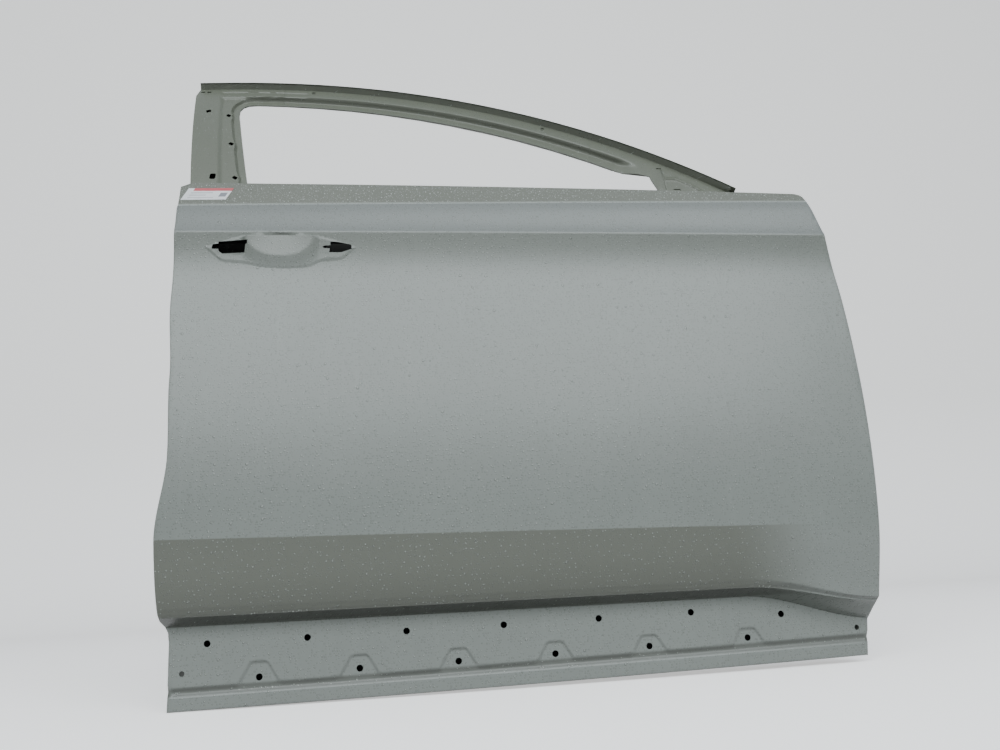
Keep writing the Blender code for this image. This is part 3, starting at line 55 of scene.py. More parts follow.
# Camera. It stands low in front of the shell and looks a little up, with a slight roll.
CAMERA_PLACE = (-0.697, -1.324, -0.181)
CAMERA_PITCH = math.radians(14.0)
CAMERA_YAW = 0.0816
CAMERA_ROLL = -0.0591
FOCAL_PIXELS = 785.0
FRAME_PIXELS = 1000.0
forward = Vector(
    (
        math.sin(CAMERA_YAW) * math.cos(CAMERA_PITCH),
        math.cos(CAMERA_YAW) * math.cos(CAMERA_PITCH),
        math.sin(CAMERA_PITCH),
    )
)
level = Vector((math.cos(CAMERA_YAW), -math.sin(CAMERA_YAW), 0))
upright = level.cross(forward)
across = math.cos(CAMERA_ROLL) * level + math.sin(CAMERA_ROLL) * upright
upward = math.cos(CAMERA_ROLL) * upright - math.sin(CAMERA_ROLL) * level
lens = bpy.data.cameras.new("camera")
lens.sensor_width = 36.0
lens.lens = lens.sensor_width * FOCAL_PIXELS / FRAME_PIXELS


def add_object(name, data):
    made = bpy.data.objects.new(name, data)
    bpy.context.scene.collection.objects.link(made)
    return made


camera = add_object("camera", lens)
turn = Matrix((across, upward, -forward)).transposed().to_4x4()
camera.matrix_world = Matrix.Translation(CAMERA_PLACE) @ turn
bpy.context.scene.camera = camera

# Outer skin. One stamped sheet of 0.75 mm steel, with creases, a recessed foot for the cladding,
# recessed clip pads and a handle pocket. Its edges are folded back over the inner panel.
DOOR_LENGTH = 1.120
FRONT_OVERHANG = 0.0298
FRONT_CROWN_HEIGHT = 0.600
# The frame's origin is the middle of the lower hinge pad.
LOWER_HINGE_SHARE = 0.59167
ORIGIN_Y = 0.052
ORIGIN_Z = LOWER_HINGE_SHARE * FRONT_CROWN_HEIGHT
FRONT_LOW_SWEEP = 0.0535
FRONT_TOP_SWEEP = 0.0387
PLAN_RADIUS = 10.0
WIDEST_X = -0.760
BOTTOM_RISE = 0.010
# The skin's long lines: height at the rear end, height at the front end, and the sag between them.
CREASE = (0.248, 0.216, 0.0)
SHOULDER = (0.764, 0.738, 0.0055)
JOGGLE = (0.821, 0.812, 0.0068)
BELT = (0.867, 0.831, 0.0048)
NOSE = (0.136, 0.126, 0.0)
CREASE_DEPTH = -0.050
NOSE_DEPTH = -0.026
NOSE_STEP = 0.003
NOSE_FOOT_SHARE = 0.7
NOSE_TOP_SHARE = 0.9
FRONT_NOSE_SHARE = 0.4
UNDER_NOSE = 0.0165
OVER_NOSE = 0.010
OVER_NOSE_SHRINK = 0.6
SHOULDER_DEPTH = -0.0125
COVE_DEPTH = -0.010
COVE_HEIGHT = 0.090
JOGGLE_DEPTH = 0.006
JOGGLE_STEP = 0.003
BELT_DEPTH = 0.011
EDGE_BEAD = 0.0005
EDGE_BEAD_RISE = 0.0018
EDGE_BEAD_WIDTH = 0.0015
# Slopes of the section, depth over height. Depth grows towards the cabin.
UNDERCUT_SLOPE = -1.6
NOSE_SLOPE = -0.1
OVER_NOSE_SLOPE = -0.7
LOW_SLOPE = -0.08
LOW_TUCK_SLOPE = -0.35
CREASE_SLOPE = -0.17
COVE_SLOPE = 0.15
SHOULDER_SLOPE = -0.17
BAND_SLOPE = 0.40
JOGGLE_SLOPE = 0.10
BELT_SLOPE = 0.05
GROOVE_FOOT = 0.017
GROOVE_MIDDLE = 0.025
GROOVE_TOP = 0.034
GROOVE_DEPTH = 0.004
LIP_FALL = 0.030
LIP_FALL_LENGTH = 0.220
LIP_FALL_SPREAD = 0.014
TUCK_END = 0.080
TUCK_FADE = 0.170
REAR_SWEEP = 0.020
# Up the rear edge: share of the belt's height, and share of the sweep there.
REAR_SWEEP_SHARES = (
    (0.00, 0.25), (0.12, 0.20), (0.153, -0.32), (0.29, -0.45), (0.43, 0.20),
    (0.58, -0.10), (0.74, -0.60), (0.88, -0.65), (1.00, -0.90),
)
TOP_FRONT_ROUND = 0.022
TOP_REAR_CUT = 0.024
SKIN_T = 0.00075
HEM_TURN = 0.0014
HEM_RETURN = 0.008
HEM_STEPS = 5
SHARP_ANGLE = math.radians(38)
MERGE_GAP = 0.00001
HOLE_PITCH = 0.150
HOLE_R = 0.0050
END_HOLE_R = 0.0040
UPPER_ROW_Z = 0.093
UPPER_ROW_START = 0.060
UPPER_ROW_COUNT = 7
LAST_UPPER_DROP = 0.012
LOWER_ROW_Z = 0.045
LOWER_ROW_START = 0.138
LOWER_ROW_COUNT = 6
LAST_PAD_SHIFT = 0.012
LOWER_ROW_RISES = (-0.0045, -0.0015, -0.001, 0.0, 0.0015, 0.0035)
END_HOLE_Z = 0.052
REAR_END_HOLE = 0.024
FRONT_END_HOLE = 0.033
PAD_TOP_HALF = 0.0135
PAD_FOOT_HALF = 0.0340
PAD_TOP_Z = 0.065
PAD_FOOT_Z = 0.031
PAD_WALL = 0.0050
PAD_DEPTH = 0.0030
PAD_ROUND = 0.006
POCKET_MIDDLE = 0.165
POCKET_HALF = 0.127
POCKET_RISE = 0.026
POCKET_FALL = 0.026
POCKET_BELOW = 0.0275
POCKET_BLUR = 0.05
# Along the pocket's foot: share of its half length, and share of its fall there.
POCKET_FOOT_SHARES = (
    (-1.00, 0.0), (-0.78, 1.0), (-0.48, 1.10), (-0.28, 1.34), (0.10, 1.48),
    (0.40, 1.34), (0.52, 0.95), (0.82, 0.85), (1.00, 0.0),
)
POCKET_WALL = 0.0035
POCKET_PROUD = 0.0014
SCOOP_HALF = 0.058
SCOOP_HEIGHT = 0.040
SCOOP_DEPTH = 0.0055
SCOOP_BELOW = 0.0025
RIM_PROUD = 0.0048
RIM_SPREAD_SHARE = 1.16
BOWL_POWERS = (2.6, 1.6)
BOWL_SOFTNESS = 0.006
BOWL_FADE = (1.3, 1.1)
# The handle's slots: place of the middle from the pocket's own, length and height, and then the
# outline in shares of that length and height.
REAR_SLOT = (-0.080, 0.062, 0.022)
REAR_SLOT_SHARES = (
    (-0.36, 0.50), (0.41, 0.46), (0.40, 0.20), (0.35, 0.10), (0.32, -0.50), (-0.28, -0.50),
    (-0.38, -0.30), (-0.39, -0.10), (-0.56, -0.08), (-0.57, -0.02), (-0.55, 0.28), (-0.53, 0.31),
    (-0.39, 0.32), (-0.39, 0.46),
)
FRONT_SLOT = (0.098, 0.046, 0.020)
FRONT_SLOT_SHARES = (
    (-0.30, 0.50), (0.02, 0.45), (0.46, 0.20), (0.48, -0.20), (0.08, -0.48),
    (-0.35, -0.44), (-0.33, -0.10), (-0.53, -0.05), (-0.60, 0.05), (-0.53, 0.16), (-0.30, 0.18),
)


def smooth(share):
    share = np.clip(share, 0.0, 1.0)
    return share * share * (3 - 2 * share)


def ramp(value, start, end):
    return np.clip((value - start) / (end - start), 0.0, 1.0)


def line_height(line, x):
    rear, front, sag = line
    u = (x + DOOR_LENGTH) / DOOR_LENGTH
    return rear + (front - rear) * u - 4 * sag * u * (1 - u)


def plan(x):
    return (x - WIDEST_X) ** 2 / (2 * PLAN_RADIUS)


def bottom(x):
    return BOTTOM_RISE * (x + DOOR_LENGTH) / DOOR_LENGTH


def lip_fall(x):
    return smooth((x + LIP_FALL_LENGTH) / LIP_FALL_LENGTH)


def skin_knots(x):
    """(height, depth, slope below, slope above) up the skin's section at x."""
    foot = bottom(x)
    fall = lip_fall(x)
    tuck = 1 - smooth((x + TUCK_END + TUCK_FADE) / TUCK_FADE)
    nose = line_height(NOSE, x) - LIP_FALL * fall
    under = nose - UNDER_NOSE - LIP_FALL_SPREAD * fall
    over = nose + OVER_NOSE * (1 - OVER_NOSE_SHRINK * fall)
    nose_depth = NOSE_DEPTH + (CREASE_DEPTH - NOSE_DEPTH) * FRONT_NOSE_SHARE * (1 - tuck)
    nose_foot = nose - NOSE_FOOT_SHARE * NOSE_STEP
    low_slope = LOW_SLOPE + LOW_TUCK_SLOPE * tuck
    joggle = line_height(JOGGLE, x)
    shoulder = line_height(SHOULDER, x)
    none = 0 * x
    return (
        (foot, none, 0, 0),
        (foot + GROOVE_FOOT, none, 0, 0),
        (foot + GROOVE_MIDDLE, none + GROOVE_DEPTH, 0, 0),
        (foot + GROOVE_TOP, none, 0, 0),
        (under, none, 0, UNDERCUT_SLOPE),
        (nose_foot, nose_depth + NOSE_STEP, UNDERCUT_SLOPE, NOSE_SLOPE),
        (nose, nose_depth + NOSE_TOP_SHARE * NOSE_STEP, NOSE_SLOPE, OVER_NOSE_SLOPE),
        (over, nose_depth - NOSE_STEP, OVER_NOSE_SLOPE, low_slope),
        (line_height(CREASE, x), none + CREASE_DEPTH, CREASE_SLOPE * tuck, 0),
        (shoulder - COVE_HEIGHT, none + COVE_DEPTH, COVE_SLOPE, COVE_SLOPE),
        (shoulder, none + SHOULDER_DEPTH, SHOULDER_SLOPE, BAND_SLOPE),
        (joggle, none + JOGGLE_DEPTH, BAND_SLOPE, BAND_SLOPE),
        (joggle + JOGGLE_STEP, none + JOGGLE_DEPTH + JOGGLE_STEP, JOGGLE_SLOPE, BELT_SLOPE),
        (line_height(BELT, x), none + BELT_DEPTH, BELT_SLOPE, BELT_SLOPE),
    )


def panel_depth(x, z):
    """Depth of the panel before its pads and pocket: a smooth section through the knots."""
    knots = skin_knots(x)
    found = knots[0][1] + 0 * z
    for low, high in zip(knots, knots[1:]):
        run = high[0] - low[0]
        t = (z - low[0]) / run
        piece = (
            (2 * t**3 - 3 * t**2 + 1) * low[1]
            + (t**3 - 2 * t**2 + t) * run * low[3]
            + (3 * t**2 - 2 * t**3) * high[1]
            + (t**3 - t**2) * run * high[2]
        )
        found = np.where((z > low[0]) & (z <= high[0]), piece, found)
    last = knots[-1]
    off_bead = (z - line_height(JOGGLE, x) - EDGE_BEAD_RISE) / EDGE_BEAD_WIDTH
    bead = EDGE_BEAD * np.exp(-(off_bead**2))
    return plan(x) - bead + np.where(z > last[0], last[1] + (z - last[0]) * last[3], found)


def pad_share(x, z):
    """1 on the floor of a recessed clip pad, 0 outside it."""
    slope = (PAD_FOOT_HALF - PAD_TOP_HALF) / (PAD_TOP_Z - PAD_FOOT_Z)
    first = LOWER_ROW_START - DOOR_LENGTH
    turn = np.clip(np.round((x - first) / HOLE_PITCH), 0, LOWER_ROW_COUNT - 1)
    middle = first + turn * HOLE_PITCH + np.where(turn == LOWER_ROW_COUNT - 1, LAST_PAD_SHIFT, 0.0)
    half = PAD_TOP_HALF + (PAD_TOP_Z - z) * slope
    side = (half - np.abs(x - middle)) / math.hypot(1, slope)
    corner = np.hypot(np.maximum(PAD_ROUND - side, 0), np.maximum(PAD_ROUND - PAD_TOP_Z + z, 0))
    foot = ramp(z - bottom(x), GROOVE_MIDDLE, GROOVE_TOP)
    return smooth((PAD_ROUND - corner) / PAD_WALL) * foot


def pocket_line(x):
    return line_height(SHOULDER, x) - POCKET_BELOW


def pocket_edges(x):
    """Lower and upper edge of the handle pocket; they cross beyond its tips."""
    s = (x + DOOR_LENGTH - POCKET_MIDDLE) / POCKET_HALF
    places, falls = zip(*POCKET_FOOT_SHARES)
    shifts = (-POCKET_BLUR, 0, 0, POCKET_BLUR)
    fall = sum(np.interp(s + shift, places, falls) for shift in shifts) / len(shifts)
    return pocket_line(x) - POCKET_FALL * fall, pocket_line(x) + POCKET_RISE * (1 - s * s)


def pocket_depth(x, z):
    """Depth that the handle pocket adds: a slightly raised field, the finger bowl and its rim."""
    low, high = pocket_edges(x)
    wall = smooth(np.minimum(z - low, high - z) / POCKET_WALL)
    across = np.abs(x + DOOR_LENGTH - POCKET_MIDDLE) / SCOOP_HALF
    top = line_height(SHOULDER, x) - SCOOP_BELOW
    along, down = BOWL_POWERS
    bowl = 1 - np.sqrt(across**along + (np.abs(top - z) / SCOOP_HEIGHT) ** down)
    bowl = (bowl + np.sqrt(bowl**2 + BOWL_SOFTNESS)) / 2
    crest = top - SCOOP_HEIGHT * np.sqrt(1 - np.minimum(1, across) ** 2)
    rim = smooth(ramp(z, low, np.maximum(crest, low + POCKET_WALL)))
    rim = rim * smooth(ramp(across, RIM_SPREAD_SHARE, 1.0))
    near = ramp(across, *BOWL_FADE)
    return wall * ((SCOOP_DEPTH + RIM_PROUD) * bowl * near - RIM_PROUD * rim - POCKET_PROUD)


def skin_depth(x, z):
    return panel_depth(x, z) + pad_share(x, z) * PAD_DEPTH + pocket_depth(x, z)


def rear_edge(z):
    share = np.clip(z / BELT[0], 0.0, 1.0)
    places, sweeps = zip(*REAR_SWEEP_SHARES)
    k = np.clip(np.searchsorted(places, share, side="left") - 1, 0, len(places) - 2)
    places, sweeps = np.array(places), np.array(sweeps)
    t = smooth((share - places[k]) / (places[k + 1] - places[k]))
    return -DOOR_LENGTH + REAR_SWEEP * (sweeps[k] + (sweeps[k + 1] - sweeps[k]) * t)


def front_edge(z):
    low = np.clip(1 - z / FRONT_CROWN_HEIGHT, 0, None)
    high = np.clip((z - FRONT_CROWN_HEIGHT) / (BELT[0] - FRONT_CROWN_HEIGHT), 0, None)
    return FRONT_OVERHANG - FRONT_LOW_SWEEP * low**2 - FRONT_TOP_SWEEP * high**2


def within(outline, x, z):
    """Which of the points (x, z) lie inside a closed outline."""
    found = np.zeros(len(x), bool)
    for (ax, az), (bx, bz) in zip(outline, outline[1:] + outline[:1]):
        if az != bz:
            crosses = (az > z) != (bz > z)
            found ^= crosses & (x < ax + (z - az) * (bx - ax) / (bz - az))
    return found


def edge_distance(x, z, start, end):
    """Distance of the points (x, z) from the straight edge between two points."""
    dx, dz = end[0] - start[0], end[1] - start[1]
    across, up = x - start[0], z - start[1]
    t = np.clip((across * dx + up * dz) / (dx * dx + dz * dz), 0, 1)
    return np.hypot(across - t * dx, up - t * dz)


def clear_of(paths, x, z, room):
    """Which of the points (x, z) lie further than their room from every edge of the paths."""
    kept = np.ones(len(x), bool)
    for path, closed in paths:
        ends = path[1:] + path[:1] if closed else path[1:]
        for start, end in zip(path, ends):
            if tuple(start) == tuple(end):
                continue
            near = kept & (np.abs(x - (start[0] + end[0]) / 2) < abs(end[0] - start[0]) / 2 + room)
            near &= np.abs(z - (start[1] + end[1]) / 2) < abs(end[1] - start[1]) / 2 + room
            kept[near] = edge_distance(x[near], z[near], start, end) > room[near]
    return kept


def blank(outline, holes, lines, points):
    """Flat triangulated blank in the plane y = 0; points is an array of (x, z, room)."""
    paths = [(outline, True)] + [(hole, True) for hole in holes] + [(line, False) for line in lines]
    x, z, room = points.T
    kept = within(outline, x, z)
    for hole in holes:
        kept &= ~within(hole, x, z)
    points = points[kept]
    x, z, room = points.T
    points = points[clear_of(paths, x, z, room)]
    corners, edges = [], []
    for path, closed in paths:
        first = len(corners)
        corners += [Vector(p) for p in path]
        count = len(path)
        edges += [(first + k, first + (k + 1) % count) for k in range(count if closed else count - 1)]
    corners += [Vector((px, pz)) for px, pz in points[:, :2].tolist()]
    found = delaunay_2d_cdt(corners, edges, [], 1, MERGE_GAP)
    flat = np.array([tuple(v) for v in found[0]])
    faces = np.array(found[2])
    middle = flat[faces].mean(axis=1)
    kept = within(outline, middle[:, 0], middle[:, 1])
    for hole in holes:
        kept &= ~within(hole, middle[:, 0], middle[:, 1])
    return flat, faces[kept].tolist()


def steepness(depth, x, z):
    """How much longer than level the sheet is here, so that pressing keeps its thickness."""
    step = SKIN_T
    here = depth(x, z)
    slope = np.maximum(np.abs(depth(x, z + step) - here), np.abs(depth(x, z - step) - here)) / step
    return np.hypot(1, slope)


def stamped(name, blank_mesh, depth, thickness):
    """Thicken a flat mesh, press it onto y = depth(x, z) and put it in the shell's place."""
    flat = add_object(name + "_blank", blank_mesh)
    sheet = flat.modifiers.new("sheet", "SOLIDIFY")
    sheet.thickness = thickness
    sheet.offset = -1
    sheet.use_even_offset = True
    sheet.use_quality_normals = True
    graph = bpy.context.evaluated_depsgraph_get()
    mesh = bpy.data.meshes.new_from_object(flat.evaluated_get(graph))
    bpy.data.objects.remove(flat)
    co = np.empty(len(mesh.vertices) * 3)
    mesh.vertices.foreach_get("co", co)
    x, y, z = co.reshape(-1, 3).T
    pressed = depth(x, z) + y * steepness(depth, x, z)
    co = np.stack([x, pressed - ORIGIN_Y, z - ORIGIN_Z], axis=1)
    mesh.vertices.foreach_set("co", co.ravel())
    mesh.update()
    mesh.shade_smooth()
    mesh.set_sharp_from_angle(angle=SHARP_ANGLE)
    mesh.name = name
    made = add_object(name, mesh)
    return made


def round_hole(x, z, radius, sides=24):
    turns = [2 * math.pi * k / sides for k in range(sides)]
    return [(x + radius * math.cos(t), z + radius * math.sin(t)) for t in turns]


def round_corner(start, corner, end, steps):
    """Points between start and end on the curve that leaves and meets the lines through corner."""
    made = []
    for k in range(1, steps):
        t = k / steps
        near, middle, far = (1 - t) ** 2, 2 * t * (1 - t), t * t
        made.append(tuple(near * start[i] + middle * corner[i] + far * end[i] for i in (0, 1)))
    return made


def slot_outline(sizes, shares):
    """Outline of one of the handle's slots, counter-clockwise as the round holes are."""
    shift, length, height = sizes
    x = POCKET_MIDDLE - DOOR_LENGTH + shift
    z = pocket_line(x)
    return [(x + a * length, z + b * height) for a, b in shares][::-1]


# Rows of the skin's net, as shares of the way from one knot of the section to the next.
SECTION_STEPS = (
    (0.2, 0.4, 0.6, 0.8), (0.12, 0.3, 0.5, 0.7, 0.88), (0.12, 0.3, 0.5, 0.7, 0.88),
    (0.04, 0.1, 0.2, 0.32, 0.44, 0.56, 0.68, 0.8, 0.9, 0.96),
    (0.12, 0.25, 0.4, 0.55, 0.7, 0.85, 0.94), (0.35, 0.7), (0.25, 0.5, 0.75),
    (0.02, 0.05, 0.1, 0.17, 0.25, 0.33, 0.42, 0.5, 0.58, 0.67, 0.75, 0.82, 0.88, 0.93, 0.97),
    (0.004, 0.01, 0.02) + tuple(0.04 + 0.96 * k / 40 for k in range(40)),
    tuple(k / 14 for k in range(1, 13)) + (0.93, 0.97),
    (0.04, 0.1, 0.2, 0.32, 0.44, 0.56, 0.68, 0.8, 0.9, 0.95, 0.98), (0.2, 0.4, 0.6, 0.8),
    (0.02, 0.04, 0.07, 0.12, 0.25, 0.45, 0.65, 0.85),
)
SIDE_POINTS = 90
FOOT_POINTS = 160
BELT_POINTS = 150
CORNER_STEPS = 8
POCKET_POINTS = 90
POCKET_LINE_SHARE = 0.985
POCKET_LINE_GAP = 0.003
NET_COLUMNS = 170
NET_PAST_REAR = 0.03
NET_PAST_FRONT = 0.04
NET_ROOM = 0.0011
FINE_ROOM_SHARE = 0.4
PAD_NET_HALF = 0.043
PAD_NET_GAP = 0.001
PAD_NET_TOP = 0.072
PAD_NET_STEP = 0.0019
POCKET_NET_HALF = 0.134
POCKET_NET_HEIGHTS = (0.680, 0.772)
POCKET_NET_STEP = 0.0021


def grid(low_x, high_x, low_z, high_z, step, room_share=0.45):
    """Points (x, z, room) on a square grid; room is the least distance kept from an edge."""
    xs, zs = np.meshgrid(np.arange(low_x, high_x, step), np.arange(low_z, high_z, step))
    return np.stack([xs.ravel(), zs.ravel(), 0 * xs.ravel() + step * room_share], axis=1)


def skin_net():
    """Points over the skin along its level lines, closer over the clip pads and the pocket."""
    xs = np.linspace(-DOOR_LENGTH - NET_PAST_REAR, NET_PAST_FRONT, NET_COLUMNS)
    knots = skin_knots(xs)
    rows = []
    for k, shares in enumerate(SECTION_STEPS):
        low, high = knots[k][0], knots[k + 1][0]
        rows += [low + (high - low) * share for share in (0.0,) + shares]
    net = np.concatenate([np.stack([xs, row, 0 * xs + NET_ROOM], axis=1) for row in rows])
    patches = []
    for k in range(LOWER_ROW_COUNT):
        middle = LOWER_ROW_START - DOOR_LENGTH + k * HOLE_PITCH
        low_z = bottom(middle) + GROOVE_TOP + PAD_NET_GAP
        patches.append((middle - PAD_NET_HALF, middle + PAD_NET_HALF, low_z, PAD_NET_TOP, PAD_NET_STEP))
    middle = POCKET_MIDDLE - DOOR_LENGTH
    ends = (middle - POCKET_NET_HALF, middle + POCKET_NET_HALF)
    patches.append((*ends, *POCKET_NET_HEIGHTS, POCKET_NET_STEP))
    for low_x, high_x, low_z, high_z, step in patches:
        x, z = net[:, 0], net[:, 1]
        net = net[(x < low_x) | (x > high_x) | (z < low_z) | (z > high_z)]
        net = np.concatenate([net, grid(low_x, high_x, low_z, high_z, step, FINE_ROOM_SHARE)])
    return net


def skin_outline():
    """The skin's edge in four stretches: rear from the top down, foot, front up, and top."""
    top = line_height(JOGGLE, -DOOR_LENGTH) + JOGGLE_STEP
    rear = [(float(rear_edge(z)), z) for z in np.linspace(top, bottom(-DOOR_LENGTH), SIDE_POINTS)]
    corner_x = float(front_edge(line_height(BELT, 0.0)))
    corner = (corner_x, float(line_height(BELT, corner_x)))
    before_z = corner[1] - TOP_FRONT_ROUND / 2
    start = float(front_edge(0.0))
    along = [(x, float(bottom(x))) for x in np.linspace(rear[-1][0], start, FOOT_POINTS)[1:-1]]
    rises = np.linspace(float(bottom(start)), before_z, SIDE_POINTS)
    front = [(float(front_edge(z)), z) for z in rises]
    after_x = corner[0] - TOP_FRONT_ROUND
    after = (after_x, float(line_height(BELT, after_x)))
    rounded = round_corner(front[-1], corner, after, CORNER_STEPS)
    start = float(rear_edge(BELT[0]))
    cut_x = start + TOP_REAR_CUT
    belt = [(x, float(line_height(BELT, x))) for x in np.linspace(after[0], cut_x, BELT_POINTS)]
    middle = (start + TOP_REAR_CUT / 5, float(line_height(BELT, start)) - TOP_REAR_CUT / 3)
    return rear, along, front, rounded + belt + [middle]


rear_side, foot_side, front_side, top_side = skin_outline()
skin_holes = []
for k in range(UPPER_ROW_COUNT):
    drop = LAST_UPPER_DROP if k == UPPER_ROW_COUNT - 1 else 0
    x = UPPER_ROW_START - DOOR_LENGTH + k * HOLE_PITCH
    skin_holes.append(round_hole(x, UPPER_ROW_Z - drop, HOLE_R))
for k, rise in enumerate(LOWER_ROW_RISES):
    shift = LAST_PAD_SHIFT if k == LOWER_ROW_COUNT - 1 else 0
    x = LOWER_ROW_START - DOOR_LENGTH + k * HOLE_PITCH + shift
    skin_holes.append(round_hole(x, LOWER_ROW_Z + rise, HOLE_R))
for x in (REAR_END_HOLE - DOOR_LENGTH, -FRONT_END_HOLE):
    skin_holes.append(round_hole(x, END_HOLE_Z, END_HOLE_R))
skin_holes += [slot_outline(REAR_SLOT, REAR_SLOT_SHARES), slot_outline(FRONT_SLOT, FRONT_SLOT_SHARES)]
pocket_xs = np.linspace(-POCKET_LINE_SHARE, POCKET_LINE_SHARE, POCKET_POINTS) * POCKET_HALF
pocket_xs = pocket_xs + POCKET_MIDDLE - DOOR_LENGTH
skin_lines = []
for inset in (0.0, POCKET_WALL):
    low, high = pocket_edges(pocket_xs)
    good = high - low > 2 * inset + POCKET_LINE_GAP
    skin_lines.append([(float(a), float(b) + inset) for a, b in zip(pocket_xs[good], low[good])])
    skin_lines.append([(float(a), float(b) - inset) for a, b in zip(pocket_xs[good], high[good])])
edge = rear_side + foot_side + front_side
flat, faces = blank(edge + top_side, skin_holes, skin_lines, skin_net())
bm = bmesh.new()
corners = [bm.verts.new((x, 0, z)) for x, z in flat.tolist()]
for face in faces:
    bm.faces.new([corners[k] for k in face])
rim = [min(bm.verts, key=lambda v: (v.co.x - x) ** 2 + (v.co.z - z) ** 2) for x, z in edge]
rows = [rim]
turns = [math.pi * (k + 1) / HEM_STEPS for k in range(HEM_STEPS)]
folds = [(-HEM_TURN * math.sin(turn), HEM_TURN * (1 - math.cos(turn))) for turn in turns]
rear_end, front_start = len(rear_side) - 1, len(rear_side) + len(foot_side)
for inset, y in folds + [(HEM_RETURN / 2, 2 * HEM_TURN), (HEM_RETURN, 2 * HEM_TURN)]:
    row = []
    for k, (x, z) in enumerate(edge):
        if k <= rear_end:
            x += inset
        elif k >= front_start:
            x -= inset
        if rear_end <= k <= front_start:
            z += inset
        row.append(bm.verts.new((x, y, z)))
    rows.append(row)
for near, far in zip(rows, rows[1:]):
    for k in range(len(near) - 1):
        bm.faces.new((near[k + 1], near[k], far[k], far[k + 1]))
bmesh.ops.delete(bm, geom=[v for v in bm.verts if not v.link_faces], context="VERTS")
skin_blank = bpy.data.meshes.new("skin_blank")
bm.to_mesh(skin_blank)
bm.free()
skin = stamped("skin_sheet", skin_blank, skin_depth, SKIN_T)
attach(skin, "root")
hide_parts("outer_skin")


def new_group(name, inputs, outputs):
    """Empty node group with named sockets; gives the group, its input node and its output node."""
    tree = bpy.data.node_groups.new(name, "ShaderNodeTree")
    for title, kind, value in inputs:
        socket = tree.interface.new_socket(title, in_out="INPUT", socket_type=kind)
        if value is not None:
            socket.default_value = value
    for title, kind in outputs:
        tree.interface.new_socket(title, in_out="OUTPUT", socket_type=kind)
    return tree, tree.nodes.new("NodeGroupInput"), tree.nodes.new("NodeGroupOutput")


def feed(tree, socket, value):
    if isinstance(value, bpy.types.NodeSocket):
        tree.links.new(value, socket)
    elif value is not None:
        socket.default_value = value


def math_node(tree, operation, a, b=None, c=None, clamp=False):
    node = tree.nodes.new("ShaderNodeMath")
    node.operation = operation
    node.use_clamp = clamp
    for socket, value in zip(node.inputs, (a, b, c)):
        feed(tree, socket, value)
    return node.outputs[0]


def blend_colours(tree, share, a, b):
    node = tree.nodes.new("ShaderNodeMix")
    node.data_type = "RGBA"
    for socket, value in ((node.inputs[0], share), (node.inputs[6], a), (node.inputs[7], b)):
        feed(tree, socket, value)
    return node.outputs[2]


def product(tree, *factors):
    found = factors[0]
    for factor in factors[1:]:
        found = math_node(tree, "MULTIPLY", found, factor)
    return found


def split_vector(tree, vector):
    """The outputs X, Y and Z of a vector."""
    split = tree.nodes.new("ShaderNodeSeparateXYZ")
    feed(tree, split.inputs["Vector"], vector)
    return split.outputs


def new_material(name):
    """A node material, with its tree and its shader."""
    made = bpy.data.materials.new(name)
    made.use_nodes = True
    return made, made.node_tree, made.node_tree.nodes["Principled BSDF"]


def object_place(tree):
    return tree.nodes.new("ShaderNodeTexCoord").outputs["Object"]


def emboss(tree, shader, height, distance):
    bump = tree.nodes.new("ShaderNodeBump")
    bump.inputs["Distance"].default_value = distance
    feed(tree, bump.inputs["Height"], height)
    feed(tree, shader.inputs["Normal"], bump.outputs["Normal"])


def coat(piece, material):
    piece.data.materials.clear()
    piece.data.materials.append(material)


def noise_over(tree, place, scale, detail):
    noise = tree.nodes.new("ShaderNodeTexNoise")
    noise.inputs["Scale"].default_value = scale
    noise.inputs["Detail"].default_value = detail
    feed(tree, noise.inputs["Vector"], place)
    return noise.outputs["Fac"]


def shade_of(colour, factor):
    return tuple(min(1.0, factor * c) for c in colour) + (1,)


def step_between(tree, value, start, end):
    """0 before start, 1 after end, smooth between them."""
    node = tree.nodes.new("ShaderNodeMapRange")
    node.interpolation_type = "SMOOTHSTEP"
    for socket, given in zip(node.inputs, (value, start, end, 0.0, 1.0)):
        feed(tree, socket, given)
    return node.outputs[0]


# Rain drops: beads of water of one size range, from cells that each may hold one.
rain, given, out = new_group(
    "rain_drops",
    [
        ("Vector", "NodeSocketVector", None), ("Cells per metre", "NodeSocketFloat", 140.0),
        ("Drop share", "NodeSocketFloat", 0.3), ("Kept share", "NodeSocketFloat", 0.5),
    ],
    [("Wet", "NodeSocketFloat"), ("Dome", "NodeSocketFloat"), ("Ring", "NodeSocketFloat")],
)
cells = rain.nodes.new("ShaderNodeTexVoronoi")
cells.feature = "F1"
cells.voronoi_dimensions = "2D"
axes = split_vector(rain, given.outputs["Vector"])
flat_place = rain.nodes.new("ShaderNodeCombineXYZ")
feed(rain, flat_place.inputs["X"], math_node(rain, "ADD", axes["X"], axes["Y"]))
feed(rain, flat_place.inputs["Y"], axes["Z"])
feed(rain, cells.inputs["Vector"], flat_place.outputs["Vector"])
feed(rain, cells.inputs["Scale"], given.outputs["Cells per metre"])
parts = rain.nodes.new("ShaderNodeSeparateColor")
feed(rain, parts.inputs["Color"], cells.outputs["Color"])
own = math_node(rain, "MULTIPLY_ADD", parts.outputs["Red"], 0.7, 0.5)
size = math_node(rain, "MULTIPLY", given.outputs["Drop share"], own)
near = math_node(rain, "DIVIDE", cells.outputs["Distance"], size)
held = math_node(rain, "LESS_THAN", parts.outputs["Green"], given.outputs["Kept share"])
inside = math_node(rain, "SUBTRACT", 1.0, math_node(rain, "POWER", near, 2.0), clamp=True)
dome = product(rain, math_node(rain, "SQRT", inside), held)
wet = product(rain, math_node(rain, "MULTIPLY", inside, 4.0, clamp=True), held)
ring = product(rain, wet, math_node(rain, "POWER", near, 1.5, clamp=True))
feed(rain, out.inputs["Wet"], wet)
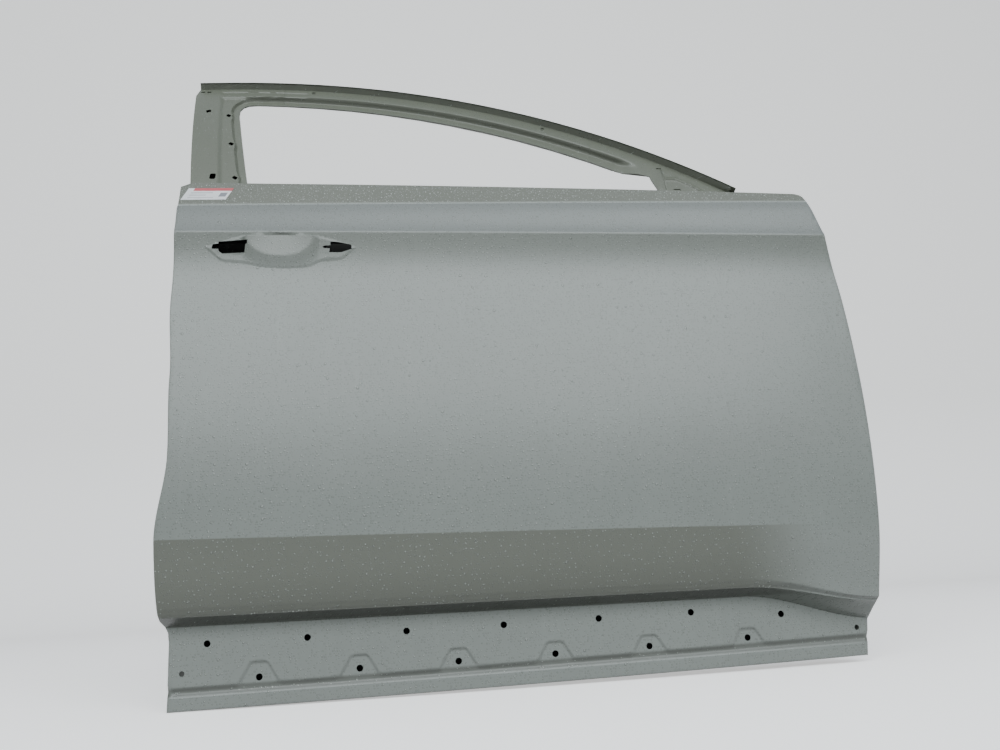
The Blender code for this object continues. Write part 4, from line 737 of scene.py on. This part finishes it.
feed(rain, out.inputs["Dome"], dome)
feed(rain, out.inputs["Ring"], ring)

# Primer grain: the slight unevenness of dip-coated primer, cloudy over the sheet, fine up close and
# in faint upright runs.
grain, given, out = new_group(
    "primer_grain",
    [("Vector", "NodeSocketVector", None)],
    [("Cloud", "NodeSocketFloat"), ("Fine", "NodeSocketFloat"), ("Runs", "NodeSocketFloat")],
)
upright_place = grain.nodes.new("ShaderNodeMapping")
upright_place.inputs["Scale"].default_value = (60.0, 60.0, 2.2)
feed(grain, upright_place.inputs["Vector"], given.outputs["Vector"])
for title, scale, detail, source in (
    ("Cloud", 5.0, 4.0, given.outputs["Vector"]),
    ("Fine", 900.0, 2.0, given.outputs["Vector"]),
    ("Runs", 1.0, 2.0, upright_place.outputs["Vector"]),
):
    feed(grain, out.inputs[title], noise_over(grain, source, scale, detail))


# Painted shade: the dull green that the primer is darkened towards on the belt flange and cove.
SHADE_DULL_GREEN = (0.082, 0.090, 0.066, 1)
# Colour of the painted highlight at the centre of each drop.
DROP_GLINT = (0.58, 0.62, 0.57, 1)


def primer(name, colour, drops, roughness, crowd_and_shade=None, painted_light=None):
    """Grey-green dip primer, wet with rain. Each layer of drops is (cells per metre, drop share,
    kept share, rise, glint), where glint is the strength of a painted highlight on each drop, and each
    drop's rim gets painted shade; where the crowd mask is 1 the drops stand closer, the primer is
    rougher and its colour is painted darker as shade, and the last argument gives pairs of a mask and
    a colour painted there as shade or highlight."""
    made, tree, shader = new_material(name)
    place = object_place(tree)
    uneven = tree.nodes.new("ShaderNodeGroup")
    uneven.node_tree = grain
    feed(tree, uneven.inputs["Vector"], place)
    crowded_and_shaded = crowd_and_shade(tree, place) if crowd_and_shade else 0.0
    tone = blend_colours(tree, uneven.outputs["Cloud"], shade_of(colour, 0.90), shade_of(colour, 1.10))
    specks = math_node(tree, "MULTIPLY_ADD", uneven.outputs["Fine"], 0.30, -0.05)
    tone = blend_colours(tree, specks, tone, shade_of(colour, 0.6))
    runs = product(tree, step_between(tree, uneven.outputs["Runs"], 0.55, 0.8), 0.3)
    tone = blend_colours(tree, runs, tone, shade_of(colour, 1.12))
    # Painted shade: where the crowd mask is 1 the colour is darkened towards dull green.
    tone = blend_colours(tree, product(tree, crowded_and_shaded, 0.85), tone, SHADE_DULL_GREEN)
    # Each of these masks paints its colour over the primer as shade or highlight.
    for mask, painted_colour in painted_light(tree, place) if painted_light else ():
        tone = blend_colours(tree, mask, tone, painted_colour)
    height = product(tree, uneven.outputs["Fine"], 0.02)
    rough = math_node(tree, "MULTIPLY_ADD", uneven.outputs["Cloud"], 0.10, roughness - 0.05)
    rough = math_node(tree, "MULTIPLY_ADD", crowded_and_shaded, 0.18, rough)
    for cells_per_metre, share, kept, rise, shine in drops:
        beads = tree.nodes.new("ShaderNodeGroup")
        beads.node_tree = rain
        feed(tree, beads.inputs["Vector"], place)
        beads.inputs["Cells per metre"].default_value = cells_per_metre
        beads.inputs["Drop share"].default_value = share
        feed(tree, beads.inputs["Kept share"], math_node(tree, "MULTIPLY_ADD", crowded_and_shaded, 0.35, kept))
        # Painted shade darkens the rim of each drop, and a painted highlight lightens its centre.
        rim_shade = product(tree, beads.outputs["Ring"], 0.92)
        tone = blend_colours(tree, rim_shade, tone, shade_of(colour, 0.25))
        glint = product(tree, math_node(tree, "POWER", beads.outputs["Dome"], 3.0), shine)
        tone = blend_colours(tree, glint, tone, DROP_GLINT)
        height = math_node(tree, "MULTIPLY_ADD", beads.outputs["Dome"], rise, height)
        rough = math_node(tree, "MULTIPLY_ADD", beads.outputs["Wet"], -0.22, rough)
    emboss(tree, shader, height, 0.001)
    feed(tree, shader.inputs["Base Color"], tone)
    feed(tree, shader.inputs["Roughness"], math_node(tree, "MAXIMUM", rough, 0.08))
    for title, value in (("IOR", 1.45), ("Coat Weight", 0.35), ("Coat Roughness", 0.22), ("Coat IOR", 1.33)):
        shader.inputs[title].default_value = value
    return made


def line_above(tree, place, line):
    """Height above one of the skin's long lines."""
    axes = split_vector(tree, place)
    back = product(tree, axes["X"], -1 / DOOR_LENGTH)
    bulge = product(tree, back, math_node(tree, "SUBTRACT", 1.0, back))
    level = math_node(tree, "MULTIPLY_ADD", back, line[0] - line[1], line[1] - ORIGIN_Z)
    level = math_node(tree, "MULTIPLY_ADD", bulge, -4 * line[2], level)
    return math_node(tree, "SUBTRACT", axes["Z"], level)


def stripe(tree, above, middle, outer, inner):
    """1 within inner of the height middle, fading to 0 at outer."""
    off = math_node(tree, "ABSOLUTE", math_node(tree, "SUBTRACT", above, middle))
    return step_between(tree, off, outer, inner)


def belt_and_cove(tree, place):
    """1 on the belt flange above the joggle, a third below the shoulder line and fading down; the drops
    crowd there and the primer is painted darker as shade.
    """
    belt = step_between(tree, line_above(tree, place, JOGGLE), 0.003, 0.006)
    above = line_above(tree, place, SHOULDER)
    cove = product(tree, step_between(tree, above, 0.001, -0.002), step_between(tree, above, -0.075, -0.020))
    return math_node(tree, "MULTIPLY_ADD", cove, 0.36, belt)


# Colours painted onto the skin as shade, and one as a highlight along the bead edge of the belt.
SHOULDER_PAINTED_SHADE = (0.155, 0.170, 0.165, 1)
TUCK_PAINTED_SHADE = (0.116, 0.122, 0.100, 1)
UNDERCUT_PAINTED_SHADE = (0.048, 0.051, 0.042, 1)
EDGE_LIGHT = (0.400, 0.425, 0.410, 1)
GROOVE_PAINTED_SHADE = (0.075, 0.080, 0.068, 1)


def skin_painted_light(tree, place):
    """Masks and colours of painted shade: shoulder band, below the crease, undercut and groove,
    with a painted highlight on the bead edge of the belt between them."""
    above_joggle = line_above(tree, place, JOGGLE)
    band = step_between(tree, line_above(tree, place, SHOULDER), -0.0005, 0.001)
    yield product(tree, band, step_between(tree, above_joggle, 0.001, -0.001), 0.85), SHOULDER_PAINTED_SHADE
    above_foot = line_above(tree, place, (NOSE[0] - UNDER_NOSE, NOSE[1] - UNDER_NOSE, 0.0))
    tucked = product(
        tree,
        step_between(tree, line_above(tree, place, CREASE), 0.0005, -0.001),
        step_between(tree, above_foot, -0.002, 0.004),
        step_between(tree, split_vector(tree, place)["X"], -TUCK_END, -TUCK_END - TUCK_FADE),
    )
    yield product(tree, tucked, 0.92), TUCK_PAINTED_SHADE
    above_nose = line_above(tree, place, (NOSE[0] + 0.001, NOSE[1] + 0.001, 0.0))
    yield product(tree, tucked, step_between(tree, above_nose, 0.003, -0.003), 0.85), UNDERCUT_PAINTED_SHADE
    yield product(tree, stripe(tree, above_joggle, 0.0014, 0.0012, 0.0004), 0.80), EDGE_LIGHT
    above_groove = line_above(tree, place, (GROOVE_MIDDLE, BOTTOM_RISE + GROOVE_MIDDLE, 0.0))
    yield product(tree, stripe(tree, above_groove, 0.0005, 0.0085, 0.0035), 0.70), GROOVE_PAINTED_SHADE


RAIN = ((260.0, 0.31, 0.40, 0.12, 0.20), (130.0, 0.19, 0.42, 0.30, 0.45), (45.0, 0.09, 0.25, 0.6, 0.30))
SKIN_GREEN = (0.228, 0.246, 0.232)
coat(skin, primer("skin_primer", SKIN_GREEN, RAIN, 0.36, belt_and_cove, skin_painted_light))

# Window frame, outer sheets. Three stamped steel sheets, pillar panel, header rail and sail panel,
# seam-welded end to end; a weld flange runs round them and a channel for the glass run inside it.
FRAME_STEP = 0.010
FRAME_LEAN = math.radians(18)
FRAME_RADIUS = 1.260
FRAME_T = 0.0010
ROOF_RISE = 0.282
ROOF_Z = BELT[0] + ROOF_RISE
ROOF_START = 0.020
ROOF_END = 0.132
ROOF_RUN = DOOR_LENGTH - ROOF_START - ROOF_END
ROOF_DROP = 1.1064 * ROOF_RISE
ROOF_POWER = 2.05
FLANGE_W = 0.0035
BAND_W = 0.030
CHANNEL_W = 0.041
HEADER_W = 0.052
HEADER_GROWTH = 0.010
FLANGE_DEPTH = 0.0154
CHANNEL_DEPTH = 0.0133
PILLAR_FOOT_X = 0.001
PILLAR_LEAN = 0.036
PILLAR_CUT = 0.030
PILLAR_W = 0.096
PILLAR_TAPER = 0.020
# Where a step starts and ends, from the rear edge, the opening or the roof line.
PILLAR_BEAD = (0.045, 0.055)
PILLAR_STEP = (0.0175, 0.0115)
PILLAR_BEAD_DEPTH = 0.0061
LEDGE = (0.0175, 0.0195)
LEDGE_DEPTH = 0.0018
LEDGE_END = 0.194
LEDGE_FADE = 0.012
OPENING_ROUND = 0.036
REAR_SEAM = 0.140
FRONT_SEAM = 0.390
SAIL_REAR = 0.302
SAIL_SLIT = (0.276, 0.260)
SLIT_W = 0.009
SAIL_BEAD = ((-0.256, 0.868), (-0.238, 0.868), (-0.216, 0.855), (-0.185, 0.830))
SAIL_BEAD_DEPTH = 0.0028
SAIL_BEAD_HALF = 0.0045
SAIL_HOLE = ((-0.247, 0.843), (-0.234, 0.843), (-0.231, 0.833), (-0.243, 0.833))
SLIT_BELOW = 0.0223
SAIL_FADE = 0.042
FRAME_TAIL = 0.030
SAIL_NOSE = 0.030
SAIL_MARGIN = 0.006
SEAM_GAP = 0.0003
# Slots are length, width and tilt in radians; their places are shares of the rail or drops below
# the roof.
SLOT_LINE = 0.0165
HEADER_SLOTS = (0.098, 0.856)
HEADER_SLOT = (0.0065, 0.0070)
STEP_SLOTS = (0.093, 0.177, 0.265)
STEP_SLOT = (0.0092, 0.0066, -0.6)
STEP_SLOT_INSET = 0.0188
STEP_WAVE = 0.0024
STEP_WAVE_WIDTH = 0.013
PILLAR_POINTS = 60
OPENING_STEPS = 14
PILLAR_SLOTS = (
    # ahead of the rear edge, below the roof, length, width, tilt in radians
    (0.0128, 0.018, 0.008, 0.004, 0.0), (0.0248, 0.018, 0.008, 0.004, 0.0),
    (0.0273, 0.083, 0.0092, 0.0080, 0.3), (0.0385, 0.264, 0.0105, 0.0128, 0.0),
)


def roof(x):
    return ROOF_Z - ROOF_DROP * (np.maximum(0.0, x + DOOR_LENGTH - ROOF_START) / ROOF_RUN) ** ROOF_POWER


def roof_cosine(x):
    return 1 / np.hypot(1, (roof(x + FLANGE_W) - roof(x - FLANGE_W)) / (2 * FLANGE_W))


def at_below(x, distance):
    """Height of the point that lies a distance below the roof line, square to it."""
    return roof(x) - distance / roof_cosine(x)


def header_width(x):
    return HEADER_W + HEADER_GROWTH * (x + DOOR_LENGTH) / DOOR_LENGTH


def pillar_edge(z):
    return -DOOR_LENGTH + PILLAR_FOOT_X - PILLAR_LEAN * (z - BELT[0]) / ROOF_RISE


def pillar_width(z):
    return PILLAR_W - PILLAR_TAPER * (z - BELT[0]) / ROOF_RISE


def opening_corner():
    x = pillar_edge(ROOF_Z) + pillar_width(ROOF_Z)
    z = float(at_below(x, header_width(x)))
    return pillar_edge(z) + pillar_width(z), z


corner_x, corner_z = opening_corner()


def frame_depth(x, z):
    """Depth of the outer frame sheets: leaning plane, flange, channel, pillar step and beads."""
    belt = line_height(BELT, x)
    foot = panel_depth(x, belt) - FRAME_STEP
    lean = FRAME_LEAN + np.maximum(0, z - belt) / FRAME_RADIUS
    plane = foot + FRAME_RADIUS * np.log(math.cos(FRAME_LEAN) / np.cos(lean))
    plane = plane + BELT_SLOPE * np.minimum(0, z - belt)
    down = (roof(x) - z) * roof_cosine(x)
    inset = x - pillar_edge(z)
    # Distance from the window opening, rounded about its rear top corner.
    up = header_width(x) - down
    back = pillar_width(z) - inset
    ahead = x > corner_x + OPENING_ROUND
    in_corner = ~ahead & (z > corner_z - OPENING_ROUND)
    away_x = np.maximum(0, OPENING_ROUND + back)
    away_z = np.maximum(0, OPENING_ROUND + up)
    reach = np.where(in_corner, np.hypot(away_x, away_z) - OPENING_ROUND, np.where(ahead, up, back))
    headward = np.where(in_corner, smooth(np.arctan2(away_z, away_x) / (math.pi / 2)), ahead)
    wave = sum(np.exp(-(((z - ROOF_Z + below) / STEP_WAVE_WIDTH) ** 2)) for below in STEP_SLOTS)
    start = (PILLAR_STEP[1] - STEP_WAVE * wave) * (1 - headward) + (header_width(x) - CHANNEL_W) * headward
    end = (PILLAR_STEP[0] - STEP_WAVE * wave) * (1 - headward) + (header_width(x) - BAND_W) * headward
    channel = CHANNEL_DEPTH * (1 - smooth((reach - start) / (end - start)))
    bead = PILLAR_BEAD_DEPTH * smooth(ramp(inset, *PILLAR_BEAD)) * smooth(ramp(down, BAND_W, CHANNEL_W))
    bead = bead * (1 - smooth(ramp(inset, PILLAR_W, PILLAR_W + OPENING_ROUND)))
    ledge = LEDGE_DEPTH * smooth(ramp(down, *LEDGE)) * smooth(ramp(inset, *PILLAR_BEAD))
    ledge = ledge * (1 - smooth(ramp(x + DOOR_LENGTH, LEDGE_END - LEDGE_FADE, LEDGE_END)))
    bead = np.maximum(bead, ledge)
    sail = 1 - smooth((x + SAIL_REAR + SAIL_FADE) / SAIL_FADE)
    flange = np.maximum(smooth(ramp(down, 0.0, FLANGE_W)), ramp(belt + FLANGE_W - z, 0.0, FLANGE_W))
    from_line = np.min([edge_distance(x, z, a, b) for a, b in zip(SAIL_BEAD, SAIL_BEAD[1:])], axis=0)
    sail_bead = SAIL_BEAD_DEPTH * (1 - smooth(from_line / SAIL_BEAD_HALF))
    return plane + FLANGE_DEPTH * flange + np.maximum(bead, channel) * sail - sail_bead


def curve(points):
    return [(float(x), float(z)) for x, z in points]


def opening_rear(foot):
    """Edge of the window opening up the pillar and round its rear top corner."""
    zs = np.linspace(foot, corner_z - OPENING_ROUND, PILLAR_POINTS)
    rise = curve(zip(pillar_edge(zs) + pillar_width(zs), zs))
    after_x = corner_x + OPENING_ROUND
    after = (after_x, float(at_below(after_x, header_width(after_x))))
    return rise + round_corner(rise[-1], (corner_x, corner_z), after, OPENING_STEPS) + [after]


def opening_top(start, end, count):
    xs = np.linspace(start, end, count)
    return curve(zip(xs, at_below(xs, header_width(xs))))


def roof_stretch(start, end, count):
    xs = np.linspace(start, end, count)
    return curve(zip(xs, roof(xs)))


def frame_slot(x, z, length, width, tilt=0.0):
    shares = ((-1, -0.5), (-0.8, -1), (0.8, -1), (1, -0.5), (1, 0.5), (0.8, 1), (-0.8, 1), (-1, 0.5))
    c, s = math.cos(tilt), math.sin(tilt)
    return curve(
        (x + c * a * length / 2 - s * b * width / 2, z + s * a * length / 2 + c * b * width / 2)
        for a, b in shares
    )


def finely(path, step=0.002):
    """The closed path with its longer edges split."""
    made = []
    for (ax, az), (bx, bz) in zip(path, path[1:] + path[:1]):
        count = max(1, int(math.hypot(bx - ax, bz - az) / step))
        made += [(ax + (bx - ax) * k / count, az + (bz - az) * k / count) for k in range(count)]
    return made


def flat_mesh(name, outline, holes, points):
    """Mesh of a flat blank, without the points that no face uses."""
    flat, faces = blank(outline, holes, [], points)
    mesh = bpy.data.meshes.new(name)
    mesh.from_pydata([(x, 0, z) for x, z in flat.tolist()], [], faces)
    bm = bmesh.new()
    bm.from_mesh(mesh)
    bmesh.ops.delete(bm, geom=[v for v in bm.verts if not v.link_faces], context="VERTS")
    bm.to_mesh(mesh)
    bm.free()
    return mesh


def frame_sheet(node, outline, holes, points):
    mesh = flat_mesh(node + "_blank", finely(outline), holes, points)
    made = stamped(node + "_sheet", mesh, frame_depth, FRAME_T)
    coat(made, frame_primer)
    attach(made, "root")
    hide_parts(node)


FRAME_GREEN = (0.120, 0.130, 0.102)
FRAME_RAIN = ((290.0, 0.28, 0.30, 0.12, 0.25), (140.0, 0.18, 0.30, 0.35, 0.45))
frame_primer = primer("frame_primer", FRAME_GREEN, FRAME_RAIN, 0.42)
PILLAR_NET_START = -1.16
PILLAR_NET_STEP = 0.0018
HEADER_NET_STEP = 0.004
HEADER_NET_LANES = (0.001, 0.064, 34)
HEADER_NET_ROOM = 0.0008
SAIL_NET_HEIGHTS = (0.79, 1.0)
SAIL_NET_STEP = 0.0022
tail = BELT[0] - FRAME_TAIL
seam = REAR_SEAM - DOOR_LENGTH - SEAM_GAP / 2
zs = np.linspace(tail, ROOF_Z - PILLAR_CUT, PILLAR_POINTS)
rear_rise = curve(zip(pillar_edge(zs), zs))
cut_x = pillar_edge(ROOF_Z) + PILLAR_CUT / 3
inner = opening_rear(tail)
slots = []
for ahead, below, length, width, tilt in PILLAR_SLOTS:
    z = ROOF_Z - below
    slots.append(frame_slot(pillar_edge(z) + ahead, z, length, width, tilt))
for below in STEP_SLOTS:
    z = ROOF_Z - below
    slots.append(frame_slot(pillar_edge(z) + pillar_width(z) - STEP_SLOT_INSET, z, *STEP_SLOT))
top_edge = opening_top(inner[-1][0], seam, 16)[1:]
outline = rear_rise + roof_stretch(cut_x, seam, 30) + top_edge[::-1] + inner[::-1]
frame_sheet("b_pillar_panel", outline, slots, grid(PILLAR_NET_START, seam, tail, ROOF_Z, PILLAR_NET_STEP))

start = REAR_SEAM - DOOR_LENGTH
lanes = np.linspace(*HEADER_NET_LANES)
xs, es = np.meshgrid(np.arange(start, -FRONT_SEAM, HEADER_NET_STEP), lanes)
xs, es = xs.ravel(), es.ravel()
points = np.stack([xs, at_below(xs, es), 0 * xs + HEADER_NET_ROOM], axis=1)
xs = [start + (-FRONT_SEAM - start) * share for share in HEADER_SLOTS]
slots = [frame_slot(x, at_below(x, SLOT_LINE), *HEADER_SLOT) for x in xs]
ends = (start + SEAM_GAP / 2, -FRONT_SEAM - SEAM_GAP / 2)
frame_sheet("header_rail", roof_stretch(*ends, 150) + opening_top(*ends, 150)[::-1], slots, points)

start = -FRONT_SEAM + SEAM_GAP / 2
nose_x = -SAIL_REAR - SAIL_NOSE
top = (nose_x, float(at_below(nose_x, header_width(nose_x))))
belt = float(line_height(BELT, -SAIL_SLIT[0]))
bend = (-SAIL_REAR + SAIL_NOSE / 2, top[1] - SAIL_NOSE / 2)
corner = (-SAIL_SLIT[0] - SAIL_NOSE / 3, bend[1] - SAIL_NOSE / 4)
drift = (PILLAR_LEAN + PILLAR_TAPER) / ROOF_RISE * FRAME_TAIL
front = [top, bend, corner, (-SAIL_SLIT[0], belt), (-SAIL_SLIT[0] + drift, belt - FRAME_TAIL)]
end = ROOF_START + ROOF_RUN - DOOR_LENGTH
foot = (end, float(line_height(BELT, end)) - FRAME_TAIL)
outline = roof_stretch(start, end, 90) + [foot] + front[::-1] + opening_top(start, nose_x, 20)[-2::-1]
low_x, high_x = -SAIL_SLIT[1] - SLIT_W, -SAIL_SLIT[0] + SAIL_MARGIN
low, high = line_height(BELT, low_x), at_below(high_x, SLIT_BELOW)
slit = curve(((low_x, low), (low_x + SLIT_W, low), (high_x + SLIT_W, high), (high_x, high)))
points = grid(start, end, *SAIL_NET_HEIGHTS, SAIL_NET_STEP)
frame_sheet("sail_panel", outline, [slit, list(SAIL_HOLE)], points)

# Inner ring, inner panel, rails, beam, plates, nuts and glass runs. Steel stampings of 0.7 to 1.6 mm
# spot-welded together inside the skin and primed in the same bath; less rain reached them.
INNER_GREEN = (0.190, 0.200, 0.172)
INNER_RAIN = ((150.0, 0.20, 0.10, 0.4, 0.2),)
# Painted shade for the cavity side of the inner panel.
CAVITY_SHADE_BLACK = (0.020, 0.021, 0.018, 1)


def cavity_painted_shade(tree, place):
    """Painted shade: nearly black on the cavity side of the inner panel, where the light of the holes
    would otherwise show it lighter than the dark cavity of the real shell."""
    inboard = split_vector(tree, place.node.outputs["Normal"])["Y"]
    yield step_between(tree, inboard, -0.35, -0.60), CAVITY_SHADE_BLACK


def paint(node, material):
    """Give every material slot of a CAD node one material."""
    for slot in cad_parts[node].material_slots:
        slot.material = material


inner_primer = primer("inner_primer", INNER_GREEN, INNER_RAIN, 0.45)
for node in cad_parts:
    paint(node, inner_primer)
# The inner panel's primer, with painted shade on its cavity side.
paint("inner_panel", primer("inner_panel_primer_and_shade", INNER_GREEN, INNER_RAIN, 0.45, None, cavity_painted_shade))
paint("frame_inner", frame_primer)

# Handle reinforcement. A thicker pressed steel plate, spot-welded behind the two handle holes. It
# is coloured nearly black as painted shade, for the same reason as the cavity side of the inner panel.
# Painted shade: the nearly black colour that stands in for the shade behind the handle holes.
PAINTED_SHADE_GREY = (0.012, 0.012, 0.012)
DIM_RAIN = ((150.0, 0.20, 0.05, 0.3, 0.05),)
handle_plate_shade = primer("handle_plate_painted_shade", PAINTED_SHADE_GREY, DIM_RAIN, 0.6)
shader = handle_plate_shade.node_tree.nodes["Principled BSDF"]
shader.inputs["IOR"].default_value = 1.15
shader.inputs["Coat Weight"].default_value = 0.0
paint("handle_plate", handle_plate_shade)

# Anti-flutter pads. Black mastic blocks, laid between the beam and the skin and cured in the
# primer oven, where they stay soft.
PORE_BLACK = (0.02, 0.02, 0.02, 1)
MASTIC_BLACK = (0.07, 0.07, 0.065, 1)
mastic, tree, shader = new_material("mastic")
pores = noise_over(tree, object_place(tree), 350.0, 5.0)
feed(tree, shader.inputs["Base Color"], blend_colours(tree, pores, PORE_BLACK, MASTIC_BLACK))
feed(tree, shader.inputs["Roughness"], math_node(tree, "MULTIPLY_ADD", pores, 0.25, 0.62))
emboss(tree, shader, pores, 0.0006)
for number in (1, 2, 3):
    paint("mastic_pad_%d" % number, mastic)

# Label. A plain white paper sticker with a red strip and a few grey bars, pressed onto the belt
# flange; the rain has made it cockle a little.
LABEL_W = 0.078
LABEL_H = 0.022
LABEL_T = 0.0002
LABEL_INSET = 0.019
LABEL_DROP = 0.011
LABEL_SKEW_SHARE = 0.62
LABEL_NET_STEP = 0.002
label_x = float(rear_edge(BELT[0])) + LABEL_INSET
label_z = float(line_height(BELT, label_x)) - LABEL_DROP
lean = LABEL_H * LABEL_SKEW_SHARE
fall = LABEL_W * (BELT[0] - BELT[1]) / DOOR_LENGTH
outline = [
    (label_x, label_z), (label_x + LABEL_W, label_z - fall),
    (label_x + LABEL_W - lean, label_z - fall - LABEL_H), (label_x - lean, label_z - LABEL_H),
]


def label_depth(x, z):
    return panel_depth(x, z) - LABEL_T - SEAM_GAP / 2


low_z = label_z - fall - LABEL_H
points = grid(label_x - lean, label_x + LABEL_W, low_z, label_z, LABEL_NET_STEP)
mesh = flat_mesh("label_blank", outline, [], points)
label = stamped("label_sheet", mesh, label_depth, LABEL_T)
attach(label, "root")
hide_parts("blank_label")
PAPER_WHITE = (0.74, 0.75, 0.78, 1)
COCKLE_GREY = (0.5, 0.5, 0.52, 1)
LABEL_RED = (0.50, 0.015, 0.035, 1)
BLOCK_GREY = (0.16, 0.17, 0.21, 1)
BAR_GREY = (0.45, 0.46, 0.50, 1)
paper, tree, shader = new_material("label_paper")
place = object_place(tree)
axes = split_vector(tree, place)
drop = math_node(tree, "SUBTRACT", label_z - ORIGIN_Z, axes["Z"])
along = math_node(tree, "SUBTRACT", axes["X"], label_x)
along = math_node(tree, "DIVIDE", math_node(tree, "MULTIPLY_ADD", drop, LABEL_SKEW_SHARE, along), LABEL_W)
down = math_node(tree, "DIVIDE", math_node(tree, "MULTIPLY_ADD", along, -fall, drop), LABEL_H)


def bar(start, end, top, foot):
    """1 inside a box printed on the label, in shares of its width and height."""
    return product(
        tree,
        math_node(tree, "GREATER_THAN", along, start), math_node(tree, "LESS_THAN", along, end),
        math_node(tree, "GREATER_THAN", down, top), math_node(tree, "LESS_THAN", down, foot),
    )


tone = PAPER_WHITE
for box, colour in (
    ((0.14, 1.2, -0.2, 0.24), LABEL_RED), ((0.80, 0.96, 0.40, 0.74), BLOCK_GREY),
    ((0.12, 0.62, 0.36, 0.44), BAR_GREY), ((0.12, 0.50, 0.56, 0.64), BAR_GREY),
    ((0.12, 0.70, 0.78, 0.85), BAR_GREY),
):
    tone = blend_colours(tree, bar(*box), tone, colour)
fibre = noise_over(tree, place, 120.0, 2.0)
tone = blend_colours(tree, product(tree, fibre, 0.15), tone, COCKLE_GREY)
feed(tree, shader.inputs["Base Color"], tone)
feed(tree, shader.inputs["Roughness"], math_node(tree, "MULTIPLY_ADD", fibre, 0.3, 0.3))
emboss(tree, shader, fibre, 0.0008)
coat(label, paper)

# Floor. One pale sheet that the shell stands on, swept up behind it into a backdrop.
FLOOR_GAP = 0.0005
FLOOR_FRONT = -9.0
FLOOR_ENDS = (-8.0, 7.0)
BACKDROP_START = 2.6
BACKDROP_BEND = 1.2
BACKDROP_TOP = 5.0
BEND_STEPS = 24
FLOOR_WHITE = (0.90, 0.90, 0.90, 1)
FLOOR_BOUNCE = (0.08, 0.085, 0.065, 1)
FLOOR_GLOW = 0.64
floor_z = cad_box[0][2] - FLOOR_GAP
profile = [(FLOOR_FRONT, floor_z), (BACKDROP_START, floor_z)]
for k in range(BEND_STEPS):
    turn = math.pi / 2 * (k + 1) / BEND_STEPS
    rise = BACKDROP_BEND * (1 - math.cos(turn))
    profile.append((BACKDROP_START + BACKDROP_BEND * math.sin(turn), floor_z + rise))
profile.append((BACKDROP_START + BACKDROP_BEND, floor_z + BACKDROP_TOP))
corners = [(x, y, z) for y, z in profile for x in FLOOR_ENDS]
faces = [(2 * k, 2 * k + 1, 2 * k + 3, 2 * k + 2) for k in range(len(profile) - 1)]
floor_mesh = bpy.data.meshes.new("floor")
floor_mesh.from_pydata(corners, [], faces)
floor_mesh.shade_smooth()
add_object("floor", floor_mesh)
sheeting, tree, shader = new_material("floor_sheet")
shader.inputs["Roughness"].default_value = 0.9
shader.inputs["Specular IOR Level"].default_value = 0.1
path = tree.nodes.new("ShaderNodeLightPath")
seen = math_node(tree, "MAXIMUM", path.outputs["Is Camera Ray"], path.outputs["Is Glossy Ray"])
seen = math_node(tree, "MAXIMUM", seen, path.outputs["Is Transmission Ray"])
feed(tree, shader.inputs["Base Color"], blend_colours(tree, seen, FLOOR_BOUNCE, FLOOR_WHITE))
shader.inputs["Emission Color"].default_value = (1.0, 1.0, 1.0, 1)
feed(tree, shader.inputs["Emission Strength"], product(tree, seen, FLOOR_GLOW))
floor_mesh.materials.append(sheeting)

# Light. An even sky, brighter overhead than near the ground, and one broad panel in front.
HORIZON = (0.11, 0.12, 0.10, 1)
OVERHEAD = (0.50, 0.54, 0.60, 1)
SKY_TURN = 0.75
PANEL_PLACE = (-0.6, -3.9, 3.2)
PANEL_AIM = (-0.55, 0, 0.2)
PANEL_SIZE = (8.0, 3.4)
PANEL_WATTS = 425
PANEL_COLOUR = (0.93, 0.985, 1.0)
world = bpy.data.worlds.new("studio")
bpy.context.scene.world = world
world.use_nodes = True
tree = world.node_tree
background = tree.nodes["Background"]
height = split_vector(tree, tree.nodes.new("ShaderNodeTexCoord").outputs["Generated"])["Z"]
sky = blend_colours(tree, step_between(tree, height, 0.0, SKY_TURN), HORIZON, OVERHEAD)
path = tree.nodes.new("ShaderNodeLightPath")
seen = math_node(tree, "MAXIMUM", path.outputs["Is Camera Ray"], path.outputs["Is Transmission Ray"])
feed(tree, background.inputs["Color"], blend_colours(tree, seen, sky, (1, 1, 1, 1)))
background.inputs["Strength"].default_value = 1.0
light = bpy.data.lights.new("sky_panel", "AREA")
light.shape = "RECTANGLE"
light.size, light.size_y = PANEL_SIZE
light.energy = PANEL_WATTS
light.color = PANEL_COLOUR
panel = add_object("sky_panel", light)
panel.location = PANEL_PLACE
panel.rotation_euler = (Vector(PANEL_AIM) - Vector(PANEL_PLACE)).to_track_quat("-Z", "Y").to_euler()
